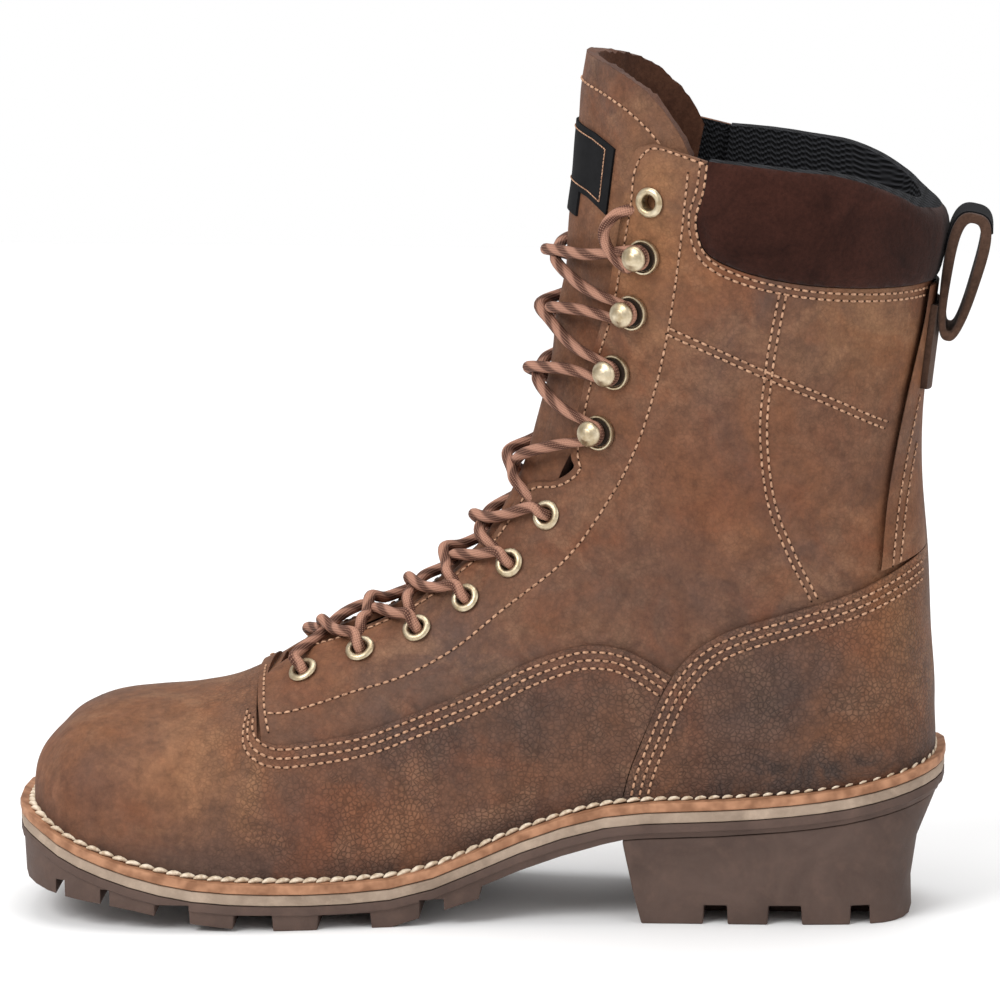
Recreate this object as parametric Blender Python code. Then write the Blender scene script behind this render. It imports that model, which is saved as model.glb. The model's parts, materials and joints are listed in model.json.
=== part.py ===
"""Logger boot, right foot: laced, with a tall shaft, a padded collar and a lugged sole with a high heel.

Metres, +Z up. The toe points along -X, the medial side faces -Y and the boot stands on z = 0."""

import math
from collections import namedtuple

import bmesh
import bpy
from mathutils import Matrix, Vector

MM = 0.001

# Driving sizes
LENGTH = 313 * MM
BALL_WIDTH = 102 * MM
SHAFT_HEIGHT = 220 * MM
BALL_HEIGHT = 16 * MM
HEEL_LIFT = 27.6 * MM
TOE_SPRING = 23 * MM
CLEARANCE = 0.3 * MM

# Leather
WALL = 2.6 * MM
OVERLAY = 1.6 * MM
OVERLAY_GAP = 0.35 * MM
TAB_STEP = 3.2 * MM
TAB_KEY = 8.55
TAB_FADE = 5.0
TAB_LOW = 0.62
TAB_BLEND = 0.2
TAB_STEEPNESS = 0.03
TAB_FOOT = 0.8
TAB_TOP = 1.1
SIDE_SHEAR = 0.04
COLLAR_OUT = 1.2 * MM
COLLAR_IN = 8 * MM
TONGUE_THICKNESS = 4.2 * MM

# Sole stack
WELT_SHELF = 7.2 * MM
HEEL_TRIM = 1.8 * MM
WELT_INNER = 6 * MM
WELT_THICKNESS = 3.2 * MM
MIDSOLE_THICKNESS = 3.6 * MM
MIDSOLE_INSET = 0.4 * MM
INSOLE_THICKNESS = 4 * MM
INSOLE_GAP = 2.4 * MM
OUTSOLE_HEEL_LAYER = 5 * MM
SHANK_THICKNESS = 6 * MM
OUTSOLE_TAPER = 1.6 * MM
TOE_CLEARANCE = 15 * MM
LUG_DEPTH = 5.4 * MM
HEEL_LUG_DEPTH = 6.6 * MM
LUG_REACH = 26 * MM
CHANNEL_WIDTH = 6 * MM

# Lacing
EYELET_RADIUS = 5.1 * MM
EYELET_BORE = 2.6 * MM
EYELET_BARREL = 3.2 * MM
EYELET_RISE = 1.1 * MM
SEAT_LIFT = 0.6 * MM
EYELET_HOLE = 3.7 * MM
HOOK_RADIUS = 5.2 * MM
HOOK_WIDTH = 5 * MM
HOOK_GAUGE = 1 * MM
HOOK_REACH = 7 * MM
HOOK_HEIGHT = 6.4 * MM
LACE_RADIUS = 2.2 * MM

# Pull loop
LOOP_WIDTH = 26 * MM
LOOP_THICKNESS = 3.2 * MM
LOOP_HEIGHT = 44 * MM
LOOP_DEPTH = 13 * MM
LOOP_LEAN = 12.4
LOOP_TAPER = 0.3
LOOP_SQUARE = 0.7
LOOP_SEGMENTS = 20

# Details of the sole's side and tread
LIP_HEIGHT = 3 * MM
LIP_INSET = 0.9 * MM
LUG_END = 2 * MM
LUG_STEP = 0.4 * MM
LUG_FLARE = 1.12
BREAST_TOP = 50 * MM
SHANK_BLEND = 12 * MM
CENTRE_HALF = 20 * MM

# Fineness
AROUND = 28
SOLE_STATIONS = 34
TONGUE_ROWS = 15
TONGUE_COLUMNS = 6
OUTLINE_STEPS = 160
TOE_SPAN = 2.0
HEEL_SPAN = (12.0, 20.0)
EYELET_SEGMENTS = 8
LACE_STEPS = 6
LACE_SIDES = 5

# Fit of the soft pieces
SLOT_HALF = 12 * MM
SLOT_FRONT = 3 * MM
SLOT_DEPTH = 7 * MM
SLOT_SPOTS = 16
TONGUE_GAP = 1 * MM
TONGUE_BULGE = 2.4 * MM
TONGUE_BULGE_SPAN = 0.34
TONGUE_BULGE_START = 0.1
TONGUE_BULGE_RISE = 0.25
TONGUE_TOP_DROP = 1.2
LACE_LIFT = 0.6 * MM
LACE_UNDER = 10 * MM
LACE_BETWEEN = 0.14
LACE_DIP = 0.7 * MM
BACKSTAY_FOOT_SLOPE = 0.3

# Sizes that follow from those above
HEEL_END = LENGTH / 2
STACK = WELT_THICKNESS + MIDSOLE_THICKNESS + 2 * CLEARANCE
SKY = 2 * SHAFT_HEIGHT

# Colours
BROWN = (0.135, 0.062, 0.032)
COLLAR_BROWN = (0.045, 0.016, 0.014)
STRAP_BROWN = (0.1, 0.046, 0.03)
WELT_TAN = (0.42, 0.17, 0.07)
MIDSOLE_GREY = (0.34, 0.28, 0.22)
LINING_GREY = (0.03, 0.03, 0.032)
RUBBER_BROWN = (0.105, 0.072, 0.055)
LACE_BROWN = (0.16, 0.085, 0.06)
BRASS = (0.5, 0.44, 0.3)

# Height of the welt's top: along is the share of the length from the heel, heel the share of the heel
# lift and toe the share of the toe spring above the ball
WeltRow = namedtuple("WeltRow", "along heel toe")
WELT_LINE = [
    WeltRow(-0.020, 1.52, 0),
    WeltRow(0.000, 1.467, 0),
    WeltRow(0.050, 1.304, 0),
    WeltRow(0.104, 1.167, 0),
    WeltRow(0.158, 1.087, 0),
    WeltRow(0.200, 1.043, 0),
    WeltRow(0.259, 1, 0),
    WeltRow(0.323, 0.971, 0),
    WeltRow(0.364, 0.906, 0),
    WeltRow(0.409, 0.761, 0),
    WeltRow(0.473, 0.489, 0),
    WeltRow(0.524, 0.236, 0),
    WeltRow(0.578, 0.054, 0),
    WeltRow(0.634, 0, 0),
    WeltRow(0.690, 0, 0),
    WeltRow(0.749, 0, 0.026),
    WeltRow(0.804, 0, 0.087),
    WeltRow(0.858, 0, 0.239),
    WeltRow(0.912, 0, 0.47),
    WeltRow(0.944, 0, 0.652),
    WeltRow(0.973, 0, 0.87),
    WeltRow(1.000, 0, 1),
    WeltRow(1.020, 0, 1.08),
]

# Underside of the forefoot's lugs: along as above, rise the share of the toe clearance
TreadRow = namedtuple("TreadRow", "along rise")
TREAD_LINE = [
    TreadRow(0.500, 0.60),
    TreadRow(0.525, 0.42),
    TreadRow(0.556, 0.20),
    TreadRow(0.580, 0),
    TreadRow(0.698, 0),
    TreadRow(0.781, 0.12),
    TreadRow(0.826, 0.29),
    TreadRow(0.879, 0.52),
    TreadRow(0.954, 0.74),
    TreadRow(1.020, 1.06),
]

# Sections of the last. front and rear are shares of the length from the heel, their rises shares of the
# shaft height above the welt line, medial, lateral and sway shares of the ball width, widest the share
# of the way from rear to front, and low and high the squareness of the two halves
Section = namedtuple(
    "Section", "front front_rise rear rear_rise medial lateral sway widest low high"
)
SECTIONS = [
    Section(0.979, 0.045, 0.979, 0.027, 0.029, 0.029, -0.087, 0.50, 2.0, 2.0),
    Section(0.976, 0.062, 0.976, -0.015, 0.154, 0.135, -0.087, 0.45, 2.2, 2.2),
    Section(0.970, 0.082, 0.970, -0.039, 0.240, 0.202, -0.083, 0.42, 2.4, 2.3),
    Section(0.956, 0.115, 0.956, -0.046, 0.327, 0.274, -0.077, 0.42, 2.6, 2.4),
    Section(0.935, 0.158, 0.935, -0.049, 0.394, 0.337, -0.067, 0.42, 2.8, 2.5),
    Section(0.901, 0.197, 0.901, -0.053, 0.442, 0.394, -0.058, 0.42, 3.0, 2.5),
    Section(0.856, 0.226, 0.856, -0.061, 0.471, 0.438, -0.043, 0.40, 3.0, 2.4),
    Section(0.807, 0.246, 0.804, -0.064, 0.486, 0.466, -0.029, 0.38, 3.0, 2.35),
    Section(0.762, 0.266, 0.743, -0.066, 0.486, 0.481, -0.019, 0.37, 3.0, 2.3),
    Section(0.714, 0.303, 0.676, -0.064, 0.466, 0.486, -0.010, 0.36, 3.0, 2.25),
    Section(0.660, 0.352, 0.602, -0.058, 0.433, 0.471, 0, 0.36, 3.0, 2.2),
    Section(0.609, 0.383, 0.526, -0.061, 0.399, 0.447, 0, 0.36, 3.0, 2.2),
    Section(0.562, 0.412, 0.436, -0.054, 0.370, 0.418, 0, 0.38, 3.0, 2.15),
    Section(0.519, 0.447, 0.334, -0.065, 0.361, 0.399, 0, 0.40, 3.0, 2.15),
    Section(0.486, 0.487, 0.219, -0.065, 0.370, 0.394, 0, 0.42, 3.0, 2.1),
    Section(0.460, 0.545, 0.104, -0.069, 0.380, 0.389, 0, 0.44, 3.0, 2.05),
    Section(0.444, 0.614, 0.021, -0.048, 0.385, 0.389, 0, 0.46, 3.0, 2.0),
    Section(0.431, 0.689, 0.013, 0.076, 0.394, 0.399, 0, 0.48, 2.8, 2.0),
    Section(0.423, 0.749, 0.018, 0.196, 0.409, 0.413, 0, 0.50, 2.6, 2.0),
    Section(0.417, 0.809, 0.022, 0.316, 0.428, 0.433, 0, 0.50, 2.4, 2.0),
    Section(0.412, 0.866, 0.029, 0.437, 0.447, 0.452, 0, 0.50, 2.3, 2.0),
    Section(0.407, 0.923, 0.029, 0.537, 0.466, 0.471, 0, 0.50, 2.2, 2.0),
    Section(0.403, 0.981, 0.022, 0.634, 0.481, 0.486, 0, 0.50, 2.1, 2.0),
    Section(0.398, 1.038, 0.013, 0.730, 0.490, 0.495, 0, 0.50, 2.0, 2.0),
    Section(0.390, 1.094, 0.006, 0.828, 0.490, 0.495, 0, 0.50, 2.0, 2.0),
    Section(0.377, 1.147, 0.002, 0.926, 0.481, 0.486, 0, 0.50, 2.0, 2.0),
]

# Outlines seen from the medial side: along is the share of the length from the heel, rise the share of
# the shaft height above the welt line
Spot = namedtuple("Spot", "along rise")
FACING_LINE = [
    Spot(0.727, 0.296),
    Spot(0.704, 0.319),
    Spot(0.673, 0.341),
    Spot(0.621, 0.367),
    Spot(0.583, 0.389),
    Spot(0.554, 0.406),
    Spot(0.526, 0.428),
    Spot(0.500, 0.446),
    Spot(0.478, 0.469),
    Spot(0.460, 0.500),
    Spot(0.442, 0.520),
    Spot(0.414, 0.514),
    Spot(0.393, 0.528),
    Spot(0.396, 0.558),
    Spot(0.379, 0.670),
    Spot(0.359, 0.758),
    Spot(0.347, 0.847),
    Spot(0.337, 0.931),
    Spot(0.334, 0.975),
    Spot(0.323, 1.008),
    Spot(0.302, 1.018),
]
COLLAR_LINE = [
    Spot(0.244, 0.992),
    Spot(0.2485, 0.945),
    Spot(0.2565, 0.902),
    Spot(0.246, 0.855),
    Spot(0.210, 0.825),
    Spot(0.155, 0.799),
    Spot(0.093, 0.775),
    Spot(0.030, 0.746),
    Spot(-0.043, 0.723),
]
RIM_LINE = [
    Spot(0.244, 0.992),
    Spot(0.196, 0.981),
    Spot(0.155, 0.968),
    Spot(0.113, 0.953),
    Spot(0.075, 0.925),
    Spot(0.043, 0.890),
    Spot(0.021, 0.860),
    Spot(-0.043, 0.809),
]
WING_LINE = [
    Spot(0.711, 0.208),
    Spot(0.688, 0.212),
    Spot(0.624, 0.226),
    Spot(0.569, 0.245),
    Spot(0.503, 0.250),
    Spot(0.455, 0.257),
    Spot(0.412, 0.260),
    Spot(0.380, 0.258),
    Spot(0.344, 0.245),
    Spot(0.315, 0.224),
    Spot(0.287, 0.198),
]
COUNTER_LINE = [
    Spot(0.348, -0.053),
    Spot(0.335, 0.035),
    Spot(0.321, 0.090),
    Spot(0.296, 0.174),
    Spot(0.268, 0.230),
    Spot(0.226, 0.266),
    Spot(0.152, 0.291),
    Spot(0.089, 0.306),
    Spot(0.024, 0.326),
    Spot(-0.043, 0.355),
]
BACKSTAY_LINE = [
    Spot(0.016, 0.734),
    Spot(0.022, 0.680),
    Spot(0.032, 0.620),
    Spot(0.045, 0.539),
    Spot(0.058, 0.434),
    Spot(0.065, 0.310),
]

# Centres of the lacing, from the toe up
EYELETS = [
    Spot(0.685, 0.300),
    Spot(0.625, 0.336),
    Spot(0.564, 0.361),
    Spot(0.512, 0.386),
    Spot(0.465, 0.414),
    Spot(0.425, 0.468),
]
HOOKS = [
    Spot(0.367, 0.577),
    Spot(0.350, 0.669),
    Spot(0.331, 0.761),
    Spot(0.318, 0.847),
]
TOP_EYELET = Spot(0.312, 0.930)
TOP_BAR = Spot(0.316, 0.879)

# Foot of the pull loop, behind the collar
LOOP_FOOT = Spot(0.0182, 0.655)

# Gaps between the side lugs: along the share of the length from the heel, width the share of the length
GapRow = namedtuple("GapRow", "along width")
TREAD_GAPS = [
    GapRow(0.945, 0.010),
    GapRow(0.895, 0.010),
    GapRow(0.822, 0.037),
    GapRow(0.735, 0.041),
    GapRow(0.638, 0.055),
    GapRow(0.545, 0.026),
]
HEEL_GAPS = [
    GapRow(0.240, 0.025),
    GapRow(0.165, 0.035),
    GapRow(0.084, 0.020),
]

# Levels of the heel block: inset from the welt's edge and height as shares of the heel lift, front and
# back the shares of the length from the heel
HeelRow = namedtuple("HeelRow", "height inset front back")
HEEL_LEVELS = [
    HeelRow(0.95, 0.16, 0.339, 0.024),
    HeelRow(0.40, 0.21, 0.329, 0.031),
    HeelRow(0.00, 0.23, 0.320, 0.030),
]

# Outline of the tongue: key is the section, half the half angle round the front
TongueRow = namedtuple("TongueRow", "key half")
TONGUE = [
    TongueRow(8.75, 0.45),
    TongueRow(10, 0.62),
    TongueRow(12, 0.66),
    TongueRow(14, 0.72),
    TongueRow(16, 0.84),
    TongueRow(18, 0.98),
    TongueRow(20, 1.06),
    TongueRow(22, 1.14),
    TongueRow(24, 1.18),
    TongueRow(25, 1.18),
]


def clamp(value, low, high):
    return max(low, min(high, value))


def hermite(keys, values, key):
    """Smooth curve through values, flat past its ends."""
    last = len(keys) - 1
    if key <= keys[0]:
        return values[0]
    if key >= keys[last]:
        return values[last]
    i = 0
    while keys[i + 1] < key:
        i += 1
    span = keys[i + 1] - keys[i]
    share = (key - keys[i]) / span

    def slope(k):
        a = max(k - 1, 0)
        b = min(k + 1, last)
        return (values[b] - values[a]) / (keys[b] - keys[a])

    two = share * share
    three = two * share
    return (
        (2 * three - 3 * two + 1) * values[i]
        + (three - 2 * two + share) * span * slope(i)
        + (3 * two - 2 * three) * values[i + 1]
        + (three - two) * span * slope(i + 1)
    )


def station_x(along):
    return HEEL_END - along * LENGTH


def along_of(x):
    return (HEEL_END - x) / LENGTH


def welt_z(x):
    """Height of the welt's top at x."""
    keys = [row.along for row in WELT_LINE]
    heights = [BALL_HEIGHT + row.heel * HEEL_LIFT + row.toe * TOE_SPRING for row in WELT_LINE]
    return hermite(keys, heights, along_of(x))


def tread_z(x):
    """Height of the forefoot lugs' underside at x."""
    keys = [row.along for row in TREAD_LINE]
    return max(hermite(keys, [row.rise * TOE_CLEARANCE for row in TREAD_LINE], along_of(x)), 0)


def place(spot):
    x = station_x(spot.along)
    return Vector((x, 0, welt_z(x) + spot.rise * SHAFT_HEIGHT))


class Last:
    """The boot's form: closed sections fanned from the toe, round the heel, to the top of the shaft."""

    def __init__(self):
        self.keys = list(range(len(SECTIONS)))

    def column(self, t, name):
        return hermite(self.keys, [getattr(row, name) for row in SECTIONS], t)

    def ends(self, t):
        """Rear and front point of the section at t, in the side view."""
        rear_x = station_x(self.column(t, "rear"))
        front_x = station_x(self.column(t, "front"))
        rear = Vector((rear_x, 0, welt_z(rear_x) + self.column(t, "rear_rise") * SHAFT_HEIGHT))
        front = Vector((front_x, 0, welt_z(front_x) + self.column(t, "front_rise") * SHAFT_HEIGHT))
        return rear, front

    def half_width(self, t, share, side):
        """Distance from the sway line to the surface at a share of the way from rear to front."""
        widest = self.column(t, "widest")
        if share < widest:
            power = self.column(t, "low")
            reach = (widest - share) / widest
        else:
            power = self.column(t, "high")
            reach = (share - widest) / (1 - widest)
        width = self.column(t, "medial" if side < 0 else "lateral") * BALL_WIDTH
        return width * (1 - clamp(reach, 0, 1) ** power) ** (1 / power)

    def point(self, t, angle):
        """Point at angle round the section: a quarter turn down is the rear, up is the front."""
        rear, front = self.ends(t)
        widest = self.column(t, "widest")
        up = math.sin(angle)
        out = math.cos(angle)
        side = -1 if out > 0 else 1
        power = self.column(t, "high" if up > 0 else "low")
        reach = abs(up) ** (2 / power)
        share = widest + (1 - widest) * reach if up > 0 else widest * (1 - reach)
        width = self.column(t, "medial" if side < 0 else "lateral") * BALL_WIDTH
        y = self.column(t, "sway") * BALL_WIDTH + side * width * abs(out) ** (2 / power)
        spot = rear.lerp(front, share)
        return Vector((spot.x, y, spot.z))

    def normal(self, t, angle):
        """Outward normal, from the surface's two directions."""
        step = 0.02
        low = max(t - step, 0)
        high = min(t + step, self.keys[-1])
        down = self.point(high, angle) - self.point(low, angle)
        round_it = self.point(t, angle + step) - self.point(t, angle - step)
        return down.cross(round_it).normalized()

    def lifted(self, t, angle, offset):
        return self.point(t, angle) + self.normal(t, angle) * offset

    def share_at(self, t, x, z):
        """Share of the way from rear to front at which the section passes x, z, and how far off it is."""
        rear, front = self.ends(t)
        span = front - rear
        away = Vector((x, 0, z)) - rear
        share = away.dot(span) / span.length_squared
        return share, away.x * span.z - away.z * span.x

    def locate(self, x, z, side):
        """Section and angle of the surface point seen at x, z from one side."""
        low = 0.0
        high = float(self.keys[-1])
        for _ in range(40):
            middle = (low + high) / 2
            if self.share_at(middle, x, z)[1] > 0:
                low = middle
            else:
                high = middle
        share = clamp(self.share_at(low, x, z)[0], 0, 1)
        widest = self.column(low, "widest")
        if share > widest:
            angle = math.asin(((share - widest) / (1 - widest)) ** (self.column(low, "high") / 2))
        else:
            angle = -math.asin(((widest - share) / widest) ** (self.column(low, "low") / 2))
        return low, angle if side < 0 else math.pi - angle


LAST = Last()


# Mesh helpers


def new_object(name, verts, faces):
    mesh = bpy.data.meshes.new(name)
    mesh.from_pydata([tuple(v) for v in verts], [], faces)
    bm = bmesh.new()
    bm.from_mesh(mesh)
    bmesh.ops.recalc_face_normals(bm, faces=bm.faces)
    bm.to_mesh(mesh)
    bm.free()
    obj = bpy.data.objects.new(name, mesh)
    bpy.context.scene.collection.objects.link(obj)
    return obj


def combine(target, tool, operation):
    """Applies a Boolean to target and removes the tool."""
    modifier = target.modifiers.new("cut", "BOOLEAN")
    modifier.operation = operation
    modifier.object = tool
    modifier.solver = "EXACT"
    graph = bpy.context.evaluated_depsgraph_get()
    mesh = bpy.data.meshes.new_from_object(target.evaluated_get(graph))
    target.modifiers.clear()
    old = target.data
    target.data = mesh
    bpy.data.meshes.remove(old)
    mesh.name = target.name
    bpy.data.objects.remove(tool)
    return target


def prism(name, outline, near, far, shear=0.0):
    """Solid swept along Y from a side-view outline of (x, z); shear slides it along X as y grows."""
    count = len(outline)
    verts = [(x + shear * near, near, z) for x, z in outline]
    verts += [(x + shear * far, far, z) for x, z in outline]
    faces = [list(range(count)), list(range(count, 2 * count))]
    for i in range(count):
        j = (i + 1) % count
        faces.append([i, j, count + j, count + i])
    return new_object(name, verts, faces)


def loft(name, rings):
    """Closed solid through rings of equal length, with a fan at each end."""
    count = len(rings[0])
    verts = [point for ring in rings for point in ring]
    faces = []
    for r in range(len(rings) - 1):
        for i in range(count):
            j = (i + 1) % count
            faces.append([r * count + i, r * count + j, (r + 1) * count + j, (r + 1) * count + i])
    for ring, start in ((rings[0], 0), (rings[-1], (len(rings) - 1) * count)):
        middle = sum((Vector(p) for p in ring), Vector()) / count
        verts.append(middle)
        faces += [[start + i, start + (i + 1) % count, len(verts) - 1] for i in range(count)]
    return new_object(name, verts, faces)


def finish(obj, colour, roughness, metallic=0.0):
    """Cleans the mesh and gives the object its own material."""
    bm = bmesh.new()
    bm.from_mesh(obj.data)
    bmesh.ops.remove_doubles(bm, verts=bm.verts, dist=0.01 * MM)
    bmesh.ops.dissolve_degenerate(bm, edges=bm.edges, dist=0.005 * MM)
    bmesh.ops.triangulate(bm, faces=[f for f in bm.faces if len(f.verts) > 4])
    bm.to_mesh(obj.data)
    bm.free()
    material = bpy.data.materials.new(obj.name)
    material.use_nodes = True
    shader = material.node_tree.nodes["Principled BSDF"]
    shader.inputs["Base Color"].default_value = (*colour, 1)
    shader.inputs["Roughness"].default_value = roughness
    shader.inputs["Metallic"].default_value = metallic
    obj.data.materials.clear()
    obj.data.materials.append(material)
    return obj


# Upper, lining and overlays


def stations():
    """Section keys of the CAD form, with a tight pair where the facing's tab steps up."""
    keys = [float(k) for k in range(len(SECTIONS))]
    keys += [TAB_KEY - TAB_STEEPNESS, TAB_KEY + TAB_STEEPNESS]
    return sorted(keys)


def tab_rise(t, angle):
    """Step in the wall where the facings' front tab lies on the vamp."""
    if t < TAB_KEY:
        return 0
    fade = 1 - clamp((t - TAB_KEY) / TAB_FADE, 0, 1)
    return TAB_STEP * fade * clamp((math.sin(angle) - TAB_LOW) / TAB_BLEND, 0, 1)


def skin(t, angle, offset=0.0):
    """Point over the upper's outer face."""
    return LAST.lifted(t, angle, offset + tab_rise(t, angle))


def form(name, offset, stepped=False):
    """Closed body of the last, offset outward."""
    rings = []
    for t in stations():
        ring = []
        for k in range(AROUND):
            angle = -math.pi / 2 + 2 * math.pi * k / AROUND
            ring.append(LAST.lifted(t, angle, offset + (tab_rise(t, angle) if stepped else 0)))
        rings.append(ring)
    return loft(name, rings)


def shell(name, inner, outer, stepped=False):
    return combine(form(name, outer, stepped), form("core", inner), "DIFFERENCE")


def below_welt(lift):
    """Side-view outline of all that lies under the welt's top, raised by lift."""
    top = [(near.x, near.z) for near, _ in level(WELT_SHELF, lambda x: welt_z(x) + lift)]
    return top + [(top[-1][0], -SKY), (top[0][0], -SKY)]


def line(spots, slide=0.0, lift=0.0):
    """Side-view points of a row of spots, moved by a gap."""
    return [(place(s).x + slide, place(s).z + lift) for s in spots]


def side_cutter(name, outline, shear=0.0):
    return prism(name, outline, -BALL_WIDTH, BALL_WIDTH, shear)


def tab_line():
    """Front edge of the facings' tab, just ahead of the step in the wall."""
    rear, front = LAST.ends(TAB_KEY - 2 * TAB_STEEPNESS)
    return [(spot.x, spot.z) for spot in (rear.lerp(front, TAB_TOP), rear.lerp(front, TAB_FOOT))]


def trim_sole(obj, lift=CLEARANCE):
    """Cuts away what lies under the welt's top."""
    reach = BALL_WIDTH
    return combine(obj, prism("under", below_welt(lift), -reach, reach), "DIFFERENCE")


def make_upper():
    """Quarters and toe in one hollow wall, open at throat, collar and sole."""
    upper = shell("upper", -WALL, 0, stepped=True)
    trim_sole(upper)
    edge = line(FACING_LINE) + line(COLLAR_LINE)
    opening = edge + [(edge[-1][0], SKY), (edge[0][0], SKY)]
    combine(upper, side_cutter("opening", opening, SIDE_SHEAR), "DIFFERENCE")
    floor = [(x + SLOT_DEPTH, z - SLOT_DEPTH) for x, z in line(FACING_LINE[2:SLOT_SPOTS])]
    front = edge[0][0] + SLOT_FRONT
    slot = [(front, SKY), (front, edge[1][1] - 2 * SLOT_DEPTH)]
    slot += floor + [(floor[-1][0], SKY)]
    combine(upper, prism("slot", slot, -SLOT_HALF, SLOT_HALF), "DIFFERENCE")
    holes = [eyelet_cutter(spot, side) for spot in EYELETS + [TOP_EYELET] for side in (-1, 1)]
    combine(upper, join("holes", holes), "DIFFERENCE")
    return finish(upper, BROWN, 0.62)


def make_vamp():
    """Toe and wings, laid over the quarters and stopped at the facings' tab and the counter."""
    vamp = shell("vamp", OVERLAY_GAP, OVERLAY_GAP + OVERLAY)
    front = tab_line() + line(WING_LINE) + line(COUNTER_LINE[3::-1], -CLEARANCE)
    far = -LENGTH
    region = [(far, SKY), (front[0][0], SKY)] + front + [(front[-1][0], -SKY), (far, -SKY)]
    combine(vamp, side_cutter("region", region), "INTERSECT")
    trim_sole(vamp)
    return finish(vamp, BROWN, 0.6)


def make_counter():
    counter = shell("counter", OVERLAY_GAP, OVERLAY_GAP + OVERLAY)
    edge = line(COUNTER_LINE)
    region = edge + [(edge[-1][0], -SKY), (edge[0][0], -SKY)]
    combine(counter, side_cutter("region", region), "INTERSECT")
    trim_sole(counter)
    return finish(counter, BROWN, 0.6)


def make_backstay():
    stay = shell("backstay", OVERLAY_GAP, OVERLAY_GAP + OVERLAY)
    edge = line(BACKSTAY_LINE)
    foot = [spot for spot in COUNTER_LINE if spot.along < BACKSTAY_LINE[-1].along]
    low = line(foot, 0, CLEARANCE)
    start = (edge[-1][0], low[0][1] - (low[0][0] - edge[-1][0]) * BACKSTAY_FOOT_SLOPE)
    region = edge[:-1] + [start] + low + [(low[-1][0], edge[0][1])]
    combine(stay, side_cutter("region", region), "INTERSECT")
    return finish(stay, BROWN, 0.6)


def make_collar():
    """Padded cuff that fills the notch in the shaft's top."""
    collar = shell("collar", -COLLAR_IN, COLLAR_OUT)
    low = line(COLLAR_LINE, CLEARANCE, CLEARANCE)
    region = low + line(RIM_LINE, CLEARANCE, CLEARANCE)[:0:-1]
    combine(collar, side_cutter("region", region, SIDE_SHEAR), "INTERSECT")
    return finish(collar, COLLAR_BROWN, 0.9)


def make_tongue():
    """Curved pad inside the throat, proud of the lining between the facings."""
    keys = [row.key for row in TONGUE]
    halves = [row.half for row in TONGUE]
    outer = []
    inner = []
    rows = TONGUE_ROWS
    columns = TONGUE_COLUMNS
    for i in range(rows + 1):
        share = i / rows
        for j in range(columns + 1):
            across = 2 * j / columns - 1
            top = keys[-1] - TONGUE_TOP_DROP * abs(across) ** 3
            t = keys[0] + (top - keys[0]) * share
            angle = math.pi / 2 + hermite(keys, halves, t) * across
            bulge = TONGUE_BULGE * clamp(1 - (abs(across) / TONGUE_BULGE_SPAN) ** 2, 0, 1)
            bulge *= clamp((share - TONGUE_BULGE_START) / TONGUE_BULGE_RISE, 0, 1)
            offset = bulge - WALL - TONGUE_GAP
            outer.append(LAST.lifted(t, angle, offset))
            inner.append(LAST.lifted(t, angle, offset - TONGUE_THICKNESS))
    tongue = slab("tongue", outer, inner, columns + 1)
    return finish(tongue, BROWN, 0.7)


def slab(name, outer, inner, width):
    """Closed solid between two grids of the same size."""
    count = len(outer)
    height = count // width
    faces = []
    for i in range(height - 1):
        for j in range(width - 1):
            a = i * width + j
            quad = [a, a + 1, a + width + 1, a + width]
            faces.append(quad)
            faces.append([count + k for k in quad])
    rim = [j for j in range(width)]
    rim += [i * width + width - 1 for i in range(1, height)]
    rim += [(height - 1) * width + j for j in range(width - 2, -1, -1)]
    rim += [i * width for i in range(height - 2, 0, -1)]
    for k, a in enumerate(rim):
        b = rim[(k + 1) % len(rim)]
        faces.append([a, b, count + b, count + a])
    return new_object(name, outer + inner, faces)


# Sole


class Footprint:
    """Outline of the last where it meets the welt, and its parallels."""

    def __init__(self):
        start = self.crossing(0.0, TOE_SPAN, falling=True)
        end = self.crossing(HEEL_SPAN[0], HEEL_SPAN[1], falling=False)
        medial = []
        lateral = []
        for i in range(OUTLINE_STEPS + 1):
            share = 0.5 - 0.5 * math.cos(math.pi * i / OUTLINE_STEPS)
            low, high = self.at(start + (end - start) * share)
            medial.append(low)
            lateral.append(high)
        self.loop = medial + lateral[-2:0:-1]

    def crossing(self, low, high, falling):
        """Key at which the section's rear passes the welt line."""
        for _ in range(50):
            middle = (low + high) / 2
            rear = LAST.ends(middle)[0]
            if (rear.z > welt_z(rear.x)) == falling:
                low = middle
            else:
                high = middle
        return (low + high) / 2

    def at(self, t):
        """Medial and lateral point of the section at the welt line, in plan."""
        rear, front = LAST.ends(t)
        low = 0.0
        high = LAST.column(t, "widest")
        for _ in range(40):
            middle = (low + high) / 2
            spot = rear.lerp(front, middle)
            if spot.z < welt_z(spot.x):
                low = middle
            else:
                high = middle
        x = rear.lerp(front, low).x
        sway = LAST.column(t, "sway") * BALL_WIDTH
        medial = sway - LAST.half_width(t, low, -1)
        lateral = sway + LAST.half_width(t, low, 1)
        return Vector((x, medial)), Vector((x, lateral))

    def grown(self, distance):
        """Medial and lateral edge of the outline moved out by distance, each from the toe to the heel."""
        count = len(self.loop)
        points = []
        for i, point in enumerate(self.loop):
            along = self.loop[(i + 1) % count] - self.loop[i - 1]
            trim = HEEL_TRIM * clamp(point.x / HEEL_END, 0, 1) if distance > 0 else 0
            points.append(point + Vector((along.y, -along.x)).normalized() * (distance - trim))
        toe = min(range(count), key=lambda k: points[k].x)
        heel = max(range(count), key=lambda k: points[k].x)
        points = points[toe:] + points[:toe]
        cut = (heel - toe) % count
        medial = points[: cut + 1]
        lateral = points[cut:] + points[:1]
        return medial, lateral[::-1]


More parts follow.
